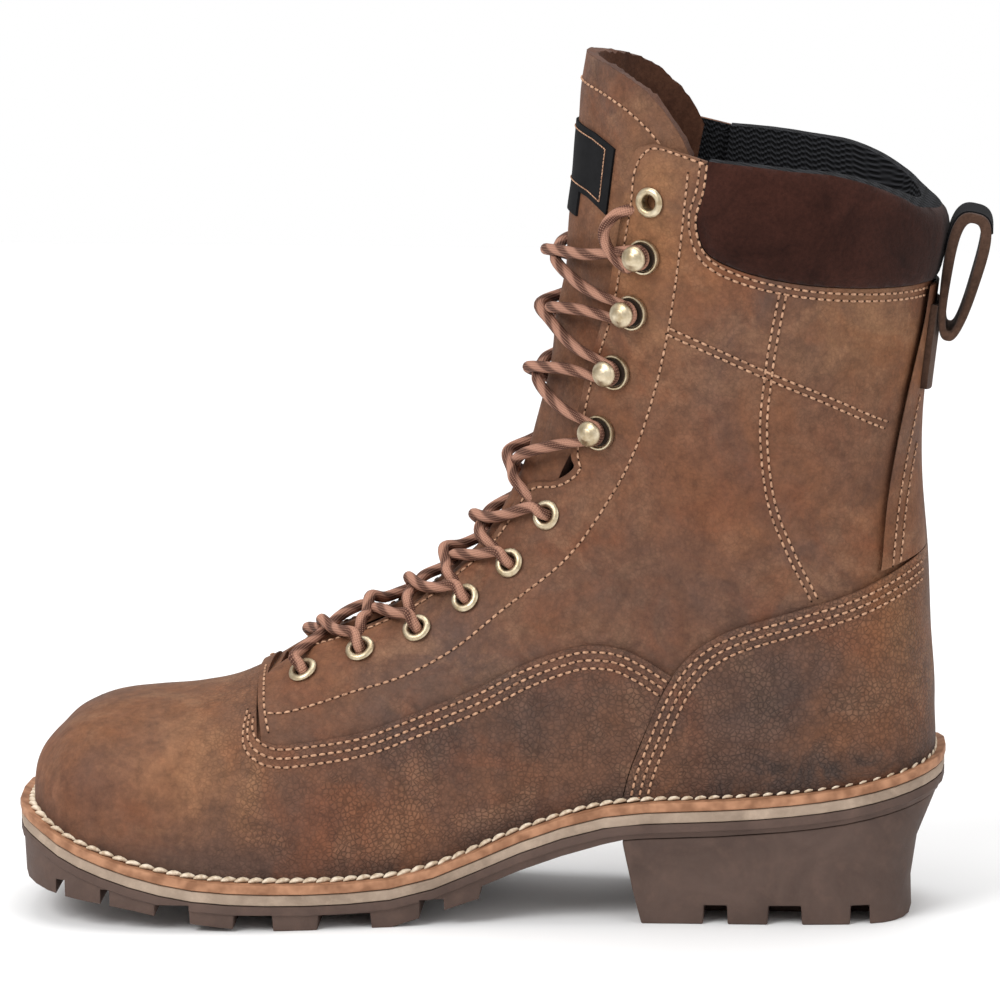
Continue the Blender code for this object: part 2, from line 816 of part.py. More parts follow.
def edge_y(edge, x):
    """Side distance of an edge at x."""
    for a, b in zip(edge, edge[1:]):
        if a.x <= x <= b.x and b.x > a.x:
            return a.y + (b.y - a.y) * (x - a.x) / (b.x - a.x)
    return edge[0].y if x < edge[0].x else edge[-1].y


FOOTPRINT = Footprint()


def sole_stations(first, last):
    """Distances along the sole, closer together toward toe and heel."""
    shares = [0.5 - 0.5 * math.cos(math.pi * i / SOLE_STATIONS) for i in range(SOLE_STATIONS + 1)]
    return [first + (last - first) * share for share in shares]


def level(distance, height, front=None, back=None, extra=()):
    """One outline of a plate, as pairs across: the footprint grown by distance, at height(x)."""
    medial, lateral = FOOTPRINT.grown(distance)
    first = medial[0].x if front is None else front
    last = medial[-1].x
    if front is None:
        xs = sorted(sole_stations(first, last) + list(extra))
    else:
        sole = [x for x in sole_stations(medial[0].x, last) if x > BREAST_TOP + LUG_STEP]
        xs = [first] + [first + (last - first) * (x - BREAST_TOP) / (last - BREAST_TOP) for x in sole]
    pairs = []
    for x in xs:
        moved = x if back is None else first + (x - first) * (back - first) / (last - first)
        z = height(moved)
        pairs.append((Vector((moved, edge_y(medial, x), z)), Vector((moved, edge_y(lateral, x), z))))
    return pairs


def plate(name, levels):
    """Closed solid through levels of pairs, capped by strips across."""
    count = len(levels[0])
    verts = []
    for pairs in levels:
        verts += [near for near, _ in pairs] + [far for _, far in pairs]
    faces = []
    for base in (0, (len(levels) - 1) * 2 * count):
        for i in range(count - 1):
            faces.append([base + i, base + i + 1, base + count + i + 1, base + count + i])
    for k in range(len(levels) - 1):
        a = 2 * count * k
        b = a + 2 * count
        for i in range(count - 1):
            faces.append([a + i, a + i + 1, b + i + 1, b + i])
            faces.append([a + count + i, a + count + i + 1, b + count + i + 1, b + count + i])
        for i in (0, count - 1):
            faces.append([a + i, a + count + i, b + count + i, b + i])
    return new_object(name, verts, faces)


def under_welt(drop):
    return lambda x: welt_z(x) - drop


def make_welt():
    top = under_welt(0)
    bottom = under_welt(WELT_THICKNESS)
    welt = plate("welt", [level(WELT_SHELF, top), level(WELT_SHELF, bottom)])
    inner = -WELT_INNER
    hole = plate("hole", [level(inner, under_welt(-WALL)), level(inner, under_welt(2 * WELT_THICKNESS))])
    combine(welt, hole, "DIFFERENCE")
    return finish(welt, WELT_TAN, 0.6)


def make_midsole():
    reach = WELT_SHELF - MIDSOLE_INSET
    top = WELT_THICKNESS + CLEARANCE
    levels = [level(reach, under_welt(top)), level(reach, under_welt(top + MIDSOLE_THICKNESS))]
    return finish(plate("midsole", levels), MIDSOLE_GREY, 0.75)


def make_insole():
    reach = -WALL - INSOLE_GAP
    top = under_welt(-CLEARANCE - INSOLE_THICKNESS)
    levels = [level(reach, top), level(reach, under_welt(-CLEARANCE))]
    return finish(plate("insole", levels), LINING_GREY, 0.9)


def sole_under(x):
    """Underside of the rubber: lugs in front, then the shank and the layer over the heel."""
    if x < LUG_END:
        return tread_z(x)
    over_heel = clamp((x - BREAST_TOP + SHANK_BLEND) / SHANK_BLEND, 0, 1)
    thickness = SHANK_THICKNESS + (OUTSOLE_HEEL_LAYER - SHANK_THICKNESS) * over_heel
    return welt_z(x) - STACK - thickness


def lug_cutters():
    """Side notches, cross channels and two long channels of the forefoot's tread."""
    cutters = []
    low = -LUG_DEPTH
    reach = BALL_WIDTH
    medial, lateral = FOOTPRINT.grown(WELT_SHELF)
    for gap in TREAD_GAPS:
        x = station_x(gap.along)
        half = gap.width * LENGTH / 2
        top = tread_z(x) + LUG_DEPTH
        foot = half * LUG_FLARE
        notch = [(x - foot, low), (x + foot, low), (x + half, top), (x - half, top)]
        near = edge_y(medial, x) + LUG_REACH
        far = edge_y(lateral, x) - LUG_REACH
        cutters.append(prism("notch", notch, -reach, near))
        cutters.append(prism("notch", notch, far, reach))
    return cutters


def centre_cutters():
    """Cross channels between the tread's middle lugs."""
    cutters = []
    low = -LUG_DEPTH
    for a, b in zip(TREAD_GAPS[1:], TREAD_GAPS[2:]):
        x = station_x((a.along + b.along) / 2)
        half = CHANNEL_WIDTH / 2
        top = tread_z(x) + LUG_DEPTH
        cross = [(x - half, low), (x + half, low), (x + half, top), (x - half, top)]
        cutters.append(prism("cross", cross, -CENTRE_HALF, CENTRE_HALF))
    return cutters


def make_outsole():
    lip = WELT_SHELF - MIDSOLE_INSET
    step = (LUG_END - LUG_STEP, LUG_END + LUG_STEP, BREAST_TOP)
    levels = [
        level(lip, under_welt(STACK), extra=step),
        level(lip, under_welt(STACK + LIP_HEIGHT), extra=step),
        level(lip - LIP_INSET, under_welt(STACK + LIP_HEIGHT + LIP_INSET / 2), extra=step),
        level(lip - OUTSOLE_TAPER, sole_under, extra=step),
    ]
    outsole = plate("outsole", levels)
    combine(outsole, join("notches", lug_cutters()), "DIFFERENCE")
    combine(outsole, join("crosses", centre_cutters()), "DIFFERENCE")
    return finish(outsole, RUBBER_BROWN, 0.8)


def make_heel():
    top = WELT_SHELF - LIP_INSET - OUTSOLE_TAPER
    levels = [level(top, lambda x: sole_under(x) - CLEARANCE, BREAST_TOP)]
    for row in HEEL_LEVELS:
        inset = row.inset * HEEL_LIFT
        height = row.height * HEEL_LIFT
        levels.append(
            level(WELT_SHELF - inset, lambda x, z=height: z, station_x(row.front), station_x(row.back))
        )
    heel = plate("heel", levels)
    cutters = []
    reach = BALL_WIDTH
    medial, lateral = FOOTPRINT.grown(WELT_SHELF)
    for gap in HEEL_GAPS:
        x = station_x(gap.along)
        half = gap.width * LENGTH / 2
        foot = half * LUG_FLARE
        notch = [
            (x - foot, -LUG_DEPTH),
            (x + foot, -LUG_DEPTH),
            (x + half, HEEL_LUG_DEPTH),
            (x - half, HEEL_LUG_DEPTH),
        ]
        cutters.append(prism("notch", notch, -reach, edge_y(medial, x) + LUG_REACH))
        cutters.append(prism("notch", notch, edge_y(lateral, x) - LUG_REACH, reach))
    combine(heel, join("notches", cutters), "DIFFERENCE")
    return finish(heel, RUBBER_BROWN, 0.8)


# Lacing


def join(name, objects):
    """One object from several that don't touch."""
    bm = bmesh.new()
    for obj in objects:
        bm.from_mesh(obj.data)
        bpy.data.objects.remove(obj)
    mesh = bpy.data.meshes.new(name)
    bm.to_mesh(mesh)
    bm.free()
    obj = bpy.data.objects.new(name, mesh)
    bpy.context.scene.collection.objects.link(obj)
    return obj


def seat(spot, side):
    """Frame on the upper's face at a spot: origin, away from the throat, up the facing, outward."""
    at = place(spot)
    t, angle = LAST.locate(at.x, at.z, side)
    origin = skin(t, angle)
    out = LAST.normal(t, angle)
    up = skin(t + 0.1, angle) - skin(t - 0.1, angle)
    up = (up - out * up.dot(out)).normalized()
    away = up.cross(out)
    if away.y * side < 0:
        away = -away
    return origin, away, up, out


def lathe(name, profile, frame, segments):
    """Ring turned from a closed profile of (radius, height) about the frame's outward axis."""
    origin, away, up, out = frame
    verts = []
    for k in range(segments):
        turn = 2 * math.pi * k / segments
        arm = away * math.cos(turn) + up * math.sin(turn)
        verts += [origin + arm * radius + out * height for radius, height in profile]
    count = len(profile)
    faces = []
    for k in range(segments):
        a = k * count
        b = (k + 1) % segments * count
        for i in range(count):
            j = (i + 1) % count
            faces.append([a + i, a + j, b + j, b + i])
    return new_object(name, verts, faces)


def disc(name, radius, low, high, frame, segments):
    origin, away, up, out = frame
    rings = []
    for height in (low, high):
        ring = []
        for k in range(segments):
            turn = 2 * math.pi * k / segments
            ring.append(origin + (away * math.cos(turn) + up * math.sin(turn)) * radius + out * height)
        rings.append(ring)
    return loft(name, rings)


def eyelet_cutter(spot, side):
    deep = 3 * WALL + TAB_STEP
    return disc("hole", EYELET_HOLE, -deep, WALL, seat(spot, side), EYELET_SEGMENTS)


def make_eyelet(name, spot, side):
    """Flange on the leather and a barrel through its hole."""
    depth = WALL
    profile = [
        (EYELET_BORE, -depth),
        (EYELET_BARREL, -depth),
        (EYELET_BARREL, SEAT_LIFT),
        (EYELET_RADIUS, SEAT_LIFT),
        (EYELET_BARREL, SEAT_LIFT + EYELET_RISE),
        (EYELET_BORE, SEAT_LIFT + EYELET_RISE / 2),
    ]
    ring = lathe(name, profile, seat(spot, side), EYELET_SEGMENTS)
    return finish(ring, BRASS, 0.35, 1.0)


def make_hook(name, spot, side):
    """Round base with a strip that curls back over it, open away from the throat."""
    frame = seat(spot, side)
    origin, away, up, out = frame
    base = disc(name, HOOK_RADIUS, SEAT_LIFT, SEAT_LIFT + HOOK_GAUGE, frame, EYELET_SEGMENTS)
    half = HOOK_REACH / 2
    top = SEAT_LIFT + HOOK_HEIGHT
    sunk = SEAT_LIFT + HOOK_GAUGE / 2
    bend = HOOK_GAUGE * 1.5
    profile = [
        (-half, sunk),
        (-half, top - bend),
        (-half + bend, top),
        (half - bend, top),
        (half, top - bend),
        (half - HOOK_GAUGE, top - bend - HOOK_GAUGE / 2),
        (half - bend - HOOK_GAUGE / 2, top - HOOK_GAUGE),
        (-half + bend + HOOK_GAUGE / 2, top - HOOK_GAUGE),
        (-half + HOOK_GAUGE, top - bend - HOOK_GAUGE / 2),
        (-half + HOOK_GAUGE, sunk),
    ]
    rings = []
    for across in (-HOOK_WIDTH / 2, HOOK_WIDTH / 2):
        rings.append([origin + away * u + out * h + up * across for u, h in profile])
    count = len(profile)
    faces = [list(range(count)), list(range(count, 2 * count))]
    faces += [[i, (i + 1) % count, count + (i + 1) % count, count + i] for i in range(count)]
    strip = new_object("strip", rings[0] + rings[1], faces)
    combine(base, strip, "UNION")
    return finish(base, BRASS, 0.35, 1.0)


def tube(name, points, radius, sides):
    """Closed tube along points, with flat ends."""
    rings = []
    for i, point in enumerate(points):
        ahead = points[min(i + 1, len(points) - 1)] - points[max(i - 1, 0)]
        ahead.normalize()
        right = ahead.cross(Vector((0, 0, 1)))
        if right.length < 0.1:
            right = ahead.cross(Vector((1, 0, 0)))
        right.normalize()
        over = right.cross(ahead)
        ring = []
        for k in range(sides):
            turn = 2 * math.pi * k / sides
            ring.append(point + (right * math.cos(turn) + over * math.sin(turn)) * radius)
        rings.append(ring)
    return loft(name, rings)


def strand(name, low, high, low_gap, high_gap):
    """Lace from the medial seat at low toward the lateral seat at high, short of each by a gap."""
    a = place(low)
    b = place(high)
    t0, angle0 = LAST.locate(a.x, a.z, -1)
    t1, angle1 = LAST.locate(b.x, b.z, 1)
    length = (LAST.point(t1, angle1) - LAST.point(t0, angle0)).length
    begin = low_gap / length
    end = 1 - high_gap / length
    points = []
    for i in range(LACE_STEPS + 1):
        share = begin + (end - begin) * i / LACE_STEPS
        t = t0 + (t1 - t0) * share
        angle = angle0 + (angle1 - angle0) * share
        over = clamp((abs(angle - math.pi / 2) - LACE_BETWEEN) / LACE_BETWEEN, 0, 1)
        lift = LACE_RADIUS + LACE_LIFT + tab_rise(t, angle) * over - LACE_DIP * (1 - over)
        points.append(LAST.lifted(t, angle, lift))
    return tube(name, points, LACE_RADIUS, LACE_SIDES)


def mirrored(obj):
    """Copies a strand to the other side."""
    twin = obj.copy()
    twin.data = obj.data.copy()
    twin.data.transform(Matrix.Scale(-1, 4, Vector((0, 1, 0))))
    twin.data.flip_normals()
    bpy.context.scene.collection.objects.link(twin)
    return twin


def make_cross(name, low, high, low_gap, high_gap):
    """Two strands that cross over the tongue, in one solid."""
    one = strand(name, low, high, low_gap, high_gap)
    combine(one, mirrored(one), "UNION")
    return finish(one, LACE_BROWN, 0.8)


def make_laces():
    """Crossings up the throat: the lower ones rise from under the facings, the upper ones join hooks."""
    beside = EYELET_RADIUS + 2 * CLEARANCE
    make_cross("lace_cross_1", EYELETS[0], EYELETS[1], beside, beside)
    levels = EYELETS[1:] + HOOKS
    for number, (low, high) in enumerate(zip(levels, levels[1:]), 2):
        make_cross(f"lace_cross_{number}", low, high, LACE_UNDER, beside)
    bar = strand("lace_bar", TOP_BAR, TOP_BAR, beside, beside)
    finish(bar, LACE_BROWN, 0.8)


# Pull loop


def make_pull_loop():
    """Folded strap that stands behind the collar, a ring seen from the side."""
    foot = place(LOOP_FOOT)
    lean = math.radians(LOOP_LEAN)
    up = Vector((math.sin(lean), 0, math.cos(lean)))
    out = Vector((math.cos(lean), 0, -math.sin(lean)))
    rings = []
    for inset in (0, LOOP_THICKNESS):
        half_deep = LOOP_DEPTH / 2 - inset
        half_high = LOOP_HEIGHT / 2 - inset
        ring = []
        for k in range(LOOP_SEGMENTS):
            turn = 2 * math.pi * k / LOOP_SEGMENTS
            v = half_high * math.copysign(abs(math.sin(turn)) ** LOOP_SQUARE, math.sin(turn))
            u = half_deep * math.copysign(abs(math.cos(turn)) ** LOOP_SQUARE, math.cos(turn))
            u *= 1 + LOOP_TAPER * v / half_high
            ring.append(foot + out * (LOOP_DEPTH / 2 + u) + up * (LOOP_HEIGHT / 2 + v))
        rings.append(ring)
    verts = []
    for y in (-LOOP_WIDTH / 2, LOOP_WIDTH / 2):
        for ring in rings:
            verts += [point + Vector((0, y, 0)) for point in ring]
    count = LOOP_SEGMENTS
    outer0, inner0, outer1, inner1 = (k * count for k in range(4))
    faces = []
    for i in range(count):
        j = (i + 1) % count
        faces.append([outer0 + i, outer0 + j, inner0 + j, inner0 + i])
        faces.append([outer1 + i, outer1 + j, inner1 + j, inner1 + i])
        faces.append([outer0 + i, outer0 + j, outer1 + j, outer1 + i])
        faces.append([inner0 + i, inner0 + j, inner1 + j, inner1 + i])
    return finish(new_object("pull_loop", verts, faces), STRAP_BROWN, 0.75)


def clear_scene():
    for obj in list(bpy.data.objects):
        bpy.data.objects.remove(obj)


def centre_all():
    """Moves everything so that the box round the boot stands centred over the origin."""
    corners = [vertex.co for obj in bpy.data.objects for vertex in obj.data.vertices]
    low = Vector([min(corner[k] for corner in corners) for k in range(3)])
    high = Vector([max(corner[k] for corner in corners) for k in range(3)])
    shift = Vector((-(low.x + high.x) / 2, -(low.y + high.y) / 2, -low.z))
    for obj in bpy.data.objects:
        obj.data.transform(Matrix.Translation(shift))


def main():
    clear_scene()
    make_upper()
    make_vamp()
    make_counter()
    make_backstay()
    make_collar()
    make_tongue()
    make_insole()
    make_welt()
    make_midsole()
    make_outsole()
    make_heel()
    make_pull_loop()
    for side, word in ((-1, "medial"), (1, "lateral")):
        for number, spot in enumerate(EYELETS + [TOP_EYELET], 1):
            make_eyelet(f"eyelet_{word}_{number}", spot, side)
        for number, spot in enumerate(HOOKS, 1):
            make_hook(f"hook_{word}_{number}", spot, side)
    make_laces()
    centre_all()


main()
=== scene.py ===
import json
import math
from collections import namedtuple

import bmesh
import bpy
import numpy as np
from mathutils import Matrix, Vector
from mathutils.bvhtree import BVHTree

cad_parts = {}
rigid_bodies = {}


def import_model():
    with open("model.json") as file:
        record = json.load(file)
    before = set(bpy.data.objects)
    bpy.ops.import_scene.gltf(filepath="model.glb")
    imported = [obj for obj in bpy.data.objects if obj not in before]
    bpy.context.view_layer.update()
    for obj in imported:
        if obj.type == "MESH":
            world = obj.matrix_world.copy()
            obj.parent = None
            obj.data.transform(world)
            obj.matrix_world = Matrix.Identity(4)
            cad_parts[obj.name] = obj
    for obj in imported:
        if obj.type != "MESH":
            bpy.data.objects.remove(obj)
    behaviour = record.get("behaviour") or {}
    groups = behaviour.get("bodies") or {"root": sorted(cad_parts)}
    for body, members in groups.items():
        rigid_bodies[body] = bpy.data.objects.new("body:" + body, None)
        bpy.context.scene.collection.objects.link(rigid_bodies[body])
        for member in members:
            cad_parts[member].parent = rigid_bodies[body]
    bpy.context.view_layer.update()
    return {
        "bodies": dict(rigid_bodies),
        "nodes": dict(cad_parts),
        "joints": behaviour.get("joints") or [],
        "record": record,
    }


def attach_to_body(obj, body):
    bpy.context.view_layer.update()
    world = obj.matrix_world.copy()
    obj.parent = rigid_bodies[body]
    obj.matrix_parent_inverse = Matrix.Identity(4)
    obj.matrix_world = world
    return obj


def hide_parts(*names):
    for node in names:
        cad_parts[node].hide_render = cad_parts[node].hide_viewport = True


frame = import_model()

MM = 0.001


def table(kind, *values):
    """Named rows from plain tuples."""
    return [kind(*value) for value in values]


# Driving sizes
LENGTH = 313 * MM
BALL_WIDTH = 102 * MM
SHAFT_HEIGHT = 220 * MM
BALL_HEIGHT = 16 * MM
HEEL_LIFT = 27.6 * MM
TOE_SPRING = 23 * MM
CLEARANCE = 0.3 * MM

# Leather
WALL = 2.6 * MM
OVERLAY = 1.6 * MM
OVERLAY_GAP = 0.35 * MM
TAB_STEP = 3.2 * MM
TAB_KEY = 8.55
TAB_FADE = 5.0
TAB_LOW = 0.62
TAB_BLEND = 0.2
TAB_STEEPNESS = 0.03
TAB_FOOT = 0.8
TAB_TOP = 1.1
HOLE_DEEP = 3 * WALL + TAB_STEP
HOLE_HIGH = 2 * WALL
HOLE_SIDES = 20
SIDE_SHEAR = 0.04
COLLAR_IN = 7 * MM
TONGUE_THICKNESS = 4.2 * MM

# Sole
HEEL_TRIM = 1.8 * MM

# Lacing
EYELET_RADIUS = 5.1 * MM
EYELET_BORE = 2.6 * MM
EYELET_BARREL = 3.2 * MM
EYELET_RISE = 1.1 * MM
SEAT_LIFT = 0.6 * MM
EYELET_HOLE = 3.7 * MM
HOOK_GAUGE = 1 * MM
HOOK_HEIGHT = 6.4 * MM

# Pull loop
LOOP_WIDTH = 26 * MM
LOOP_THICKNESS = 3.2 * MM
LOOP_HEIGHT = 44 * MM
LOOP_DEPTH = 13 * MM
LOOP_LEAN = 12.4
LOOP_TAPER = 0.3
LOOP_SQUARE = 0.7

# Fineness
OUTLINE_STEPS = 160
TOE_SPAN = 2.0
HEEL_SPAN = (12.0, 20.0)

# Fit of the soft pieces
SLOT_HALF = 12 * MM
SLOT_FRONT = 3 * MM
SLOT_DEPTH = 7 * MM
SLOT_SPOTS = 16
TONGUE_GAP = 1 * MM
TONGUE_BULGE = 2.4 * MM
TONGUE_BULGE_SPAN = 0.34
TONGUE_BULGE_START = 0.1
TONGUE_BULGE_RISE = 0.25
TONGUE_TOP_DROP = 1.2
LACE_LIFT = 0.6 * MM
LACE_BETWEEN = 0.14
LACE_DIP = 0.7 * MM
BACKSTAY_FOOT_SLOPE = 0.3

# Sizes that follow from those above
HEEL_END = LENGTH / 2
SKY = 2 * SHAFT_HEIGHT

# Height of the welt's top: along is the share of the length from the heel, heel the share of the heel
# lift and toe the share of the toe spring above the ball
WeltRow = namedtuple("WeltRow", "along heel toe")
WELT_LINE = table(
    WeltRow,
    (-0.020, 1.52, 0), (0.000, 1.467, 0), (0.050, 1.304, 0), (0.104, 1.167, 0), (0.158, 1.087, 0),
    (0.200, 1.043, 0), (0.259, 1, 0), (0.323, 0.971, 0), (0.364, 0.906, 0), (0.409, 0.761, 0),
    (0.473, 0.489, 0), (0.524, 0.236, 0), (0.578, 0.054, 0), (0.634, 0, 0), (0.690, 0, 0),
    (0.749, 0, 0.026), (0.804, 0, 0.087), (0.858, 0, 0.239), (0.912, 0, 0.47), (0.944, 0, 0.652),
    (0.973, 0, 0.87), (1.000, 0, 1), (1.020, 0, 1.08),
)

# Sections of the last. front and rear are shares of the length from the heel, their rises shares of the
# shaft height above the welt line, medial, lateral and sway shares of the ball width, widest the share
# of the way from rear to front, and low and high the squareness of the two halves
Section = namedtuple("Section", "front front_rise rear rear_rise medial lateral sway widest low high")
SECTIONS = table(
    Section,
    (0.979, 0.045, 0.979, 0.027, 0.029, 0.029, -0.087, 0.50, 2.0, 2.0),
    (0.976, 0.062, 0.976, -0.015, 0.154, 0.135, -0.087, 0.45, 2.2, 2.2),
    (0.970, 0.082, 0.970, -0.039, 0.240, 0.202, -0.083, 0.42, 2.4, 2.3),
    (0.956, 0.115, 0.956, -0.046, 0.327, 0.274, -0.077, 0.42, 2.6, 2.4),
    (0.935, 0.158, 0.935, -0.049, 0.394, 0.337, -0.067, 0.42, 2.8, 2.5),
    (0.901, 0.197, 0.901, -0.053, 0.442, 0.394, -0.058, 0.42, 3.0, 2.5),
    (0.856, 0.226, 0.856, -0.061, 0.471, 0.438, -0.043, 0.40, 3.0, 2.4),
    (0.807, 0.246, 0.804, -0.064, 0.486, 0.466, -0.029, 0.38, 3.0, 2.35),
    (0.762, 0.266, 0.743, -0.066, 0.486, 0.481, -0.019, 0.37, 3.0, 2.3),
    (0.714, 0.303, 0.676, -0.064, 0.466, 0.486, -0.010, 0.36, 3.0, 2.25),
    (0.660, 0.352, 0.602, -0.058, 0.433, 0.471, 0, 0.36, 3.0, 2.2),
    (0.609, 0.383, 0.526, -0.061, 0.399, 0.447, 0, 0.36, 3.0, 2.2),
    (0.562, 0.412, 0.436, -0.054, 0.370, 0.418, 0, 0.38, 3.0, 2.15),
    (0.519, 0.447, 0.334, -0.065, 0.361, 0.399, 0, 0.40, 3.0, 2.15),
    (0.486, 0.487, 0.219, -0.065, 0.370, 0.394, 0, 0.42, 3.0, 2.1),
    (0.460, 0.545, 0.104, -0.069, 0.380, 0.389, 0, 0.44, 3.0, 2.05),
    (0.444, 0.614, 0.021, -0.048, 0.385, 0.389, 0, 0.46, 3.0, 2.0),
    (0.431, 0.689, 0.013, 0.076, 0.394, 0.399, 0, 0.48, 2.8, 2.0),
    (0.423, 0.749, 0.018, 0.196, 0.409, 0.413, 0, 0.50, 2.6, 2.0),
    (0.417, 0.809, 0.022, 0.316, 0.428, 0.433, 0, 0.50, 2.4, 2.0),
    (0.412, 0.866, 0.029, 0.437, 0.447, 0.452, 0, 0.50, 2.3, 2.0),
    (0.407, 0.923, 0.029, 0.537, 0.466, 0.471, 0, 0.50, 2.2, 2.0),
    (0.403, 0.981, 0.022, 0.634, 0.481, 0.486, 0, 0.50, 2.1, 2.0),
    (0.398, 1.038, 0.013, 0.730, 0.490, 0.495, 0, 0.50, 2.0, 2.0),
    (0.390, 1.094, 0.006, 0.828, 0.490, 0.495, 0, 0.50, 2.0, 2.0),
    (0.377, 1.147, 0.002, 0.926, 0.481, 0.486, 0, 0.50, 2.0, 2.0),
)

# Outlines seen from the medial side: along is the share of the length from the heel, rise the share of
# the shaft height above the welt line
Spot = namedtuple("Spot", "along rise")
FACING_LINE = table(
    Spot,
    (0.727, 0.296), (0.704, 0.319), (0.673, 0.341), (0.621, 0.367), (0.583, 0.389), (0.554, 0.406),
    (0.526, 0.428), (0.500, 0.446), (0.478, 0.469), (0.460, 0.500), (0.442, 0.520), (0.414, 0.514),
    (0.393, 0.528), (0.396, 0.558), (0.379, 0.670), (0.359, 0.758), (0.347, 0.847), (0.337, 0.931),
    (0.334, 0.975), (0.323, 1.008), (0.302, 1.018),
)
COLLAR_LINE = table(
    Spot,
    (0.244, 0.992), (0.2485, 0.945), (0.2565, 0.902), (0.246, 0.855), (0.210, 0.825), (0.155, 0.799),
    (0.093, 0.775), (0.030, 0.746), (-0.043, 0.723),
)
RIM_LINE = table(
    Spot,
    (0.244, 0.992), (0.196, 0.981), (0.155, 0.968), (0.113, 0.953), (0.075, 0.925), (0.043, 0.890),
    (0.021, 0.860), (-0.043, 0.809),
)
WING_LINE = table(
    Spot,
    (0.711, 0.208), (0.688, 0.212), (0.624, 0.226), (0.569, 0.245), (0.503, 0.250), (0.455, 0.257),
    (0.412, 0.260), (0.380, 0.258), (0.344, 0.245), (0.315, 0.224), (0.287, 0.198),
)
COUNTER_LINE = table(
    Spot,
    (0.348, -0.053), (0.335, 0.035), (0.321, 0.090), (0.296, 0.174), (0.268, 0.230), (0.226, 0.266),
    (0.152, 0.291), (0.089, 0.306), (0.024, 0.326), (-0.043, 0.355),
)
BACKSTAY_LINE = table(
    Spot,
    (0.016, 0.734), (0.022, 0.680), (0.032, 0.620), (0.045, 0.539), (0.058, 0.434), (0.065, 0.310),
)

# Centres of the lacing, from the toe up
EYELETS = table(
    Spot,
    (0.685, 0.300), (0.625, 0.336), (0.564, 0.361), (0.512, 0.386), (0.465, 0.414), (0.425, 0.468),
)
HOOKS = table(
    Spot,
    (0.367, 0.577), (0.350, 0.669), (0.331, 0.761), (0.318, 0.847),
)
TOP_EYELET = Spot(0.312, 0.930)

# Foot of the pull loop, behind the collar
LOOP_FOOT = Spot(0.0182, 0.655)

# Outline of the tongue: key is the section, half the half angle round the front
TongueRow = namedtuple("TongueRow", "key half")
TONGUE = table(
    TongueRow,
    (8.75, 0.45), (10, 0.62), (12, 0.66), (14, 0.62), (15.3, 0.54), (16.3, 0.60), (17.3, 0.88),
    (18, 0.98), (20, 1.06), (22, 1.14), (24, 1.18), (25, 1.18),
)

# The model stands centred over its box, so the boot's own frame is moved by this
SHIFT = (-7.56 * MM, 2.41 * MM, 0)

# Fineness of the visible pieces
KEY_STEPS = 11
AROUND_FINE = 260
CORE_KEY_STEPS = 3
CORE_AROUND = 84
EDGE_STEPS = 5
SEAM_STEPS = 6
NORMAL_STEP = 0.02
SEAT_STEP = 0.1
UNDER_MARGIN = 20 * MM
UNDER_STEPS = 120
TONGUE_STEPS = (150, 72)
METAL_STEPS = 36
HOLLOW_STEPS = 28
CORD_SIDES = 14
LOOP_STEPS = 72

# Edges, seams and thread
EDGE_ROUND = 0.7 * MM
RUBBER_ROUND = 0.5 * MM
THREAD = 0.42 * MM
STITCH_PITCH = 2.9 * MM
STITCH_LIFT = 0.12 * MM
HOLE_LIFT = 0.05 * MM
ROW_INSET = 2.3 * MM
ROW_STEP = 2.7 * MM
PAIR_STEP = 2.3 * MM
EDGE_ROW = 2.0 * MM
FACING_ROW = 1.5 * MM
SEAM_END = 0.012
SEAM_FINE = 0.8 * MM
SHORTEST_RUN = 5
SNAP_ABOVE = 5 * MM
SNAP_REACH = 9 * MM
THREAD_SIDES = 6
THREAD_FLAT = 0.7
HOLE_SHARE = 0.8
PINHOLE_SIDES = 8

# Collar and lining
COLLAR_SWELL = 3.4 * MM
COLLAR_ROUND = 12 * MM
COLLAR_WAVE = 0.25
COLLAR_WAVE_LONG = 9 * MM
RIM_UP = 0.72
KNIT_WIDE = 2.6 * MM
KNIT_HIGH = 1.9 * MM
LINING_GAP = 0.3 * MM
LINING_THICK = 1 * MM
LINING_BACK = 14 * MM
LINING_LOW = 2 * MM

# Edges of the sole's layers, eased
WELT_EASE = 0.7 * MM
MIDSOLE_EASE = 0.4 * MM
SOLE_EASE = 0.8 * MM
INSOLE_EASE = 0.6 * MM

# Angles in degrees: edges over the first six stay sharp in the shading, over EASE_ANGLE are eased, and
# faces under FLAT_ANGLE become one. WELD is the distance at which two corners are the same.
PANEL_ANGLE = 38
SOFT_ANGLE = 60
METAL_ANGLE = 50
LACE_ANGLE = 70
STRAP_ANGLE = 45
SOLE_ANGLE = 30
EASE_ANGLE = 35
FLAT_ANGLE = 1.5
WELD = 0.02 * MM

# Hooks, laces and welt stitch
HOOK_BASE = 6 * MM
HOOK_NECK = 1.4 * MM
HOOK_HEAD = 4.4 * MM
HEAD_SHIFT = -0.8 * MM
LACE_THICK = 1.95 * MM
LACE_TIGHT = 1.5 * MM
LACE_CROSS = 1.95
LACE_HIGH = 1.8
LACE_STEPS = 7
TUCK_STEPS = 8
LACE_SAG = 0.8
LACE_REPEAT = 13.8 * MM
WELT_STITCH_OUT = 2.7 * MM
WELT_STITCH_RISE = 0.9 * MM
WELT_PITCH = 4.6 * MM
WELT_SLANT = 0.42
WELT_THREAD = 1.15 * MM
WELT_REACH = 0.66
WELT_SINK = 0.4 * MM
WELT_FLAT = 0.8
WELT_SIDES = 8
WELT_RINGS = 7

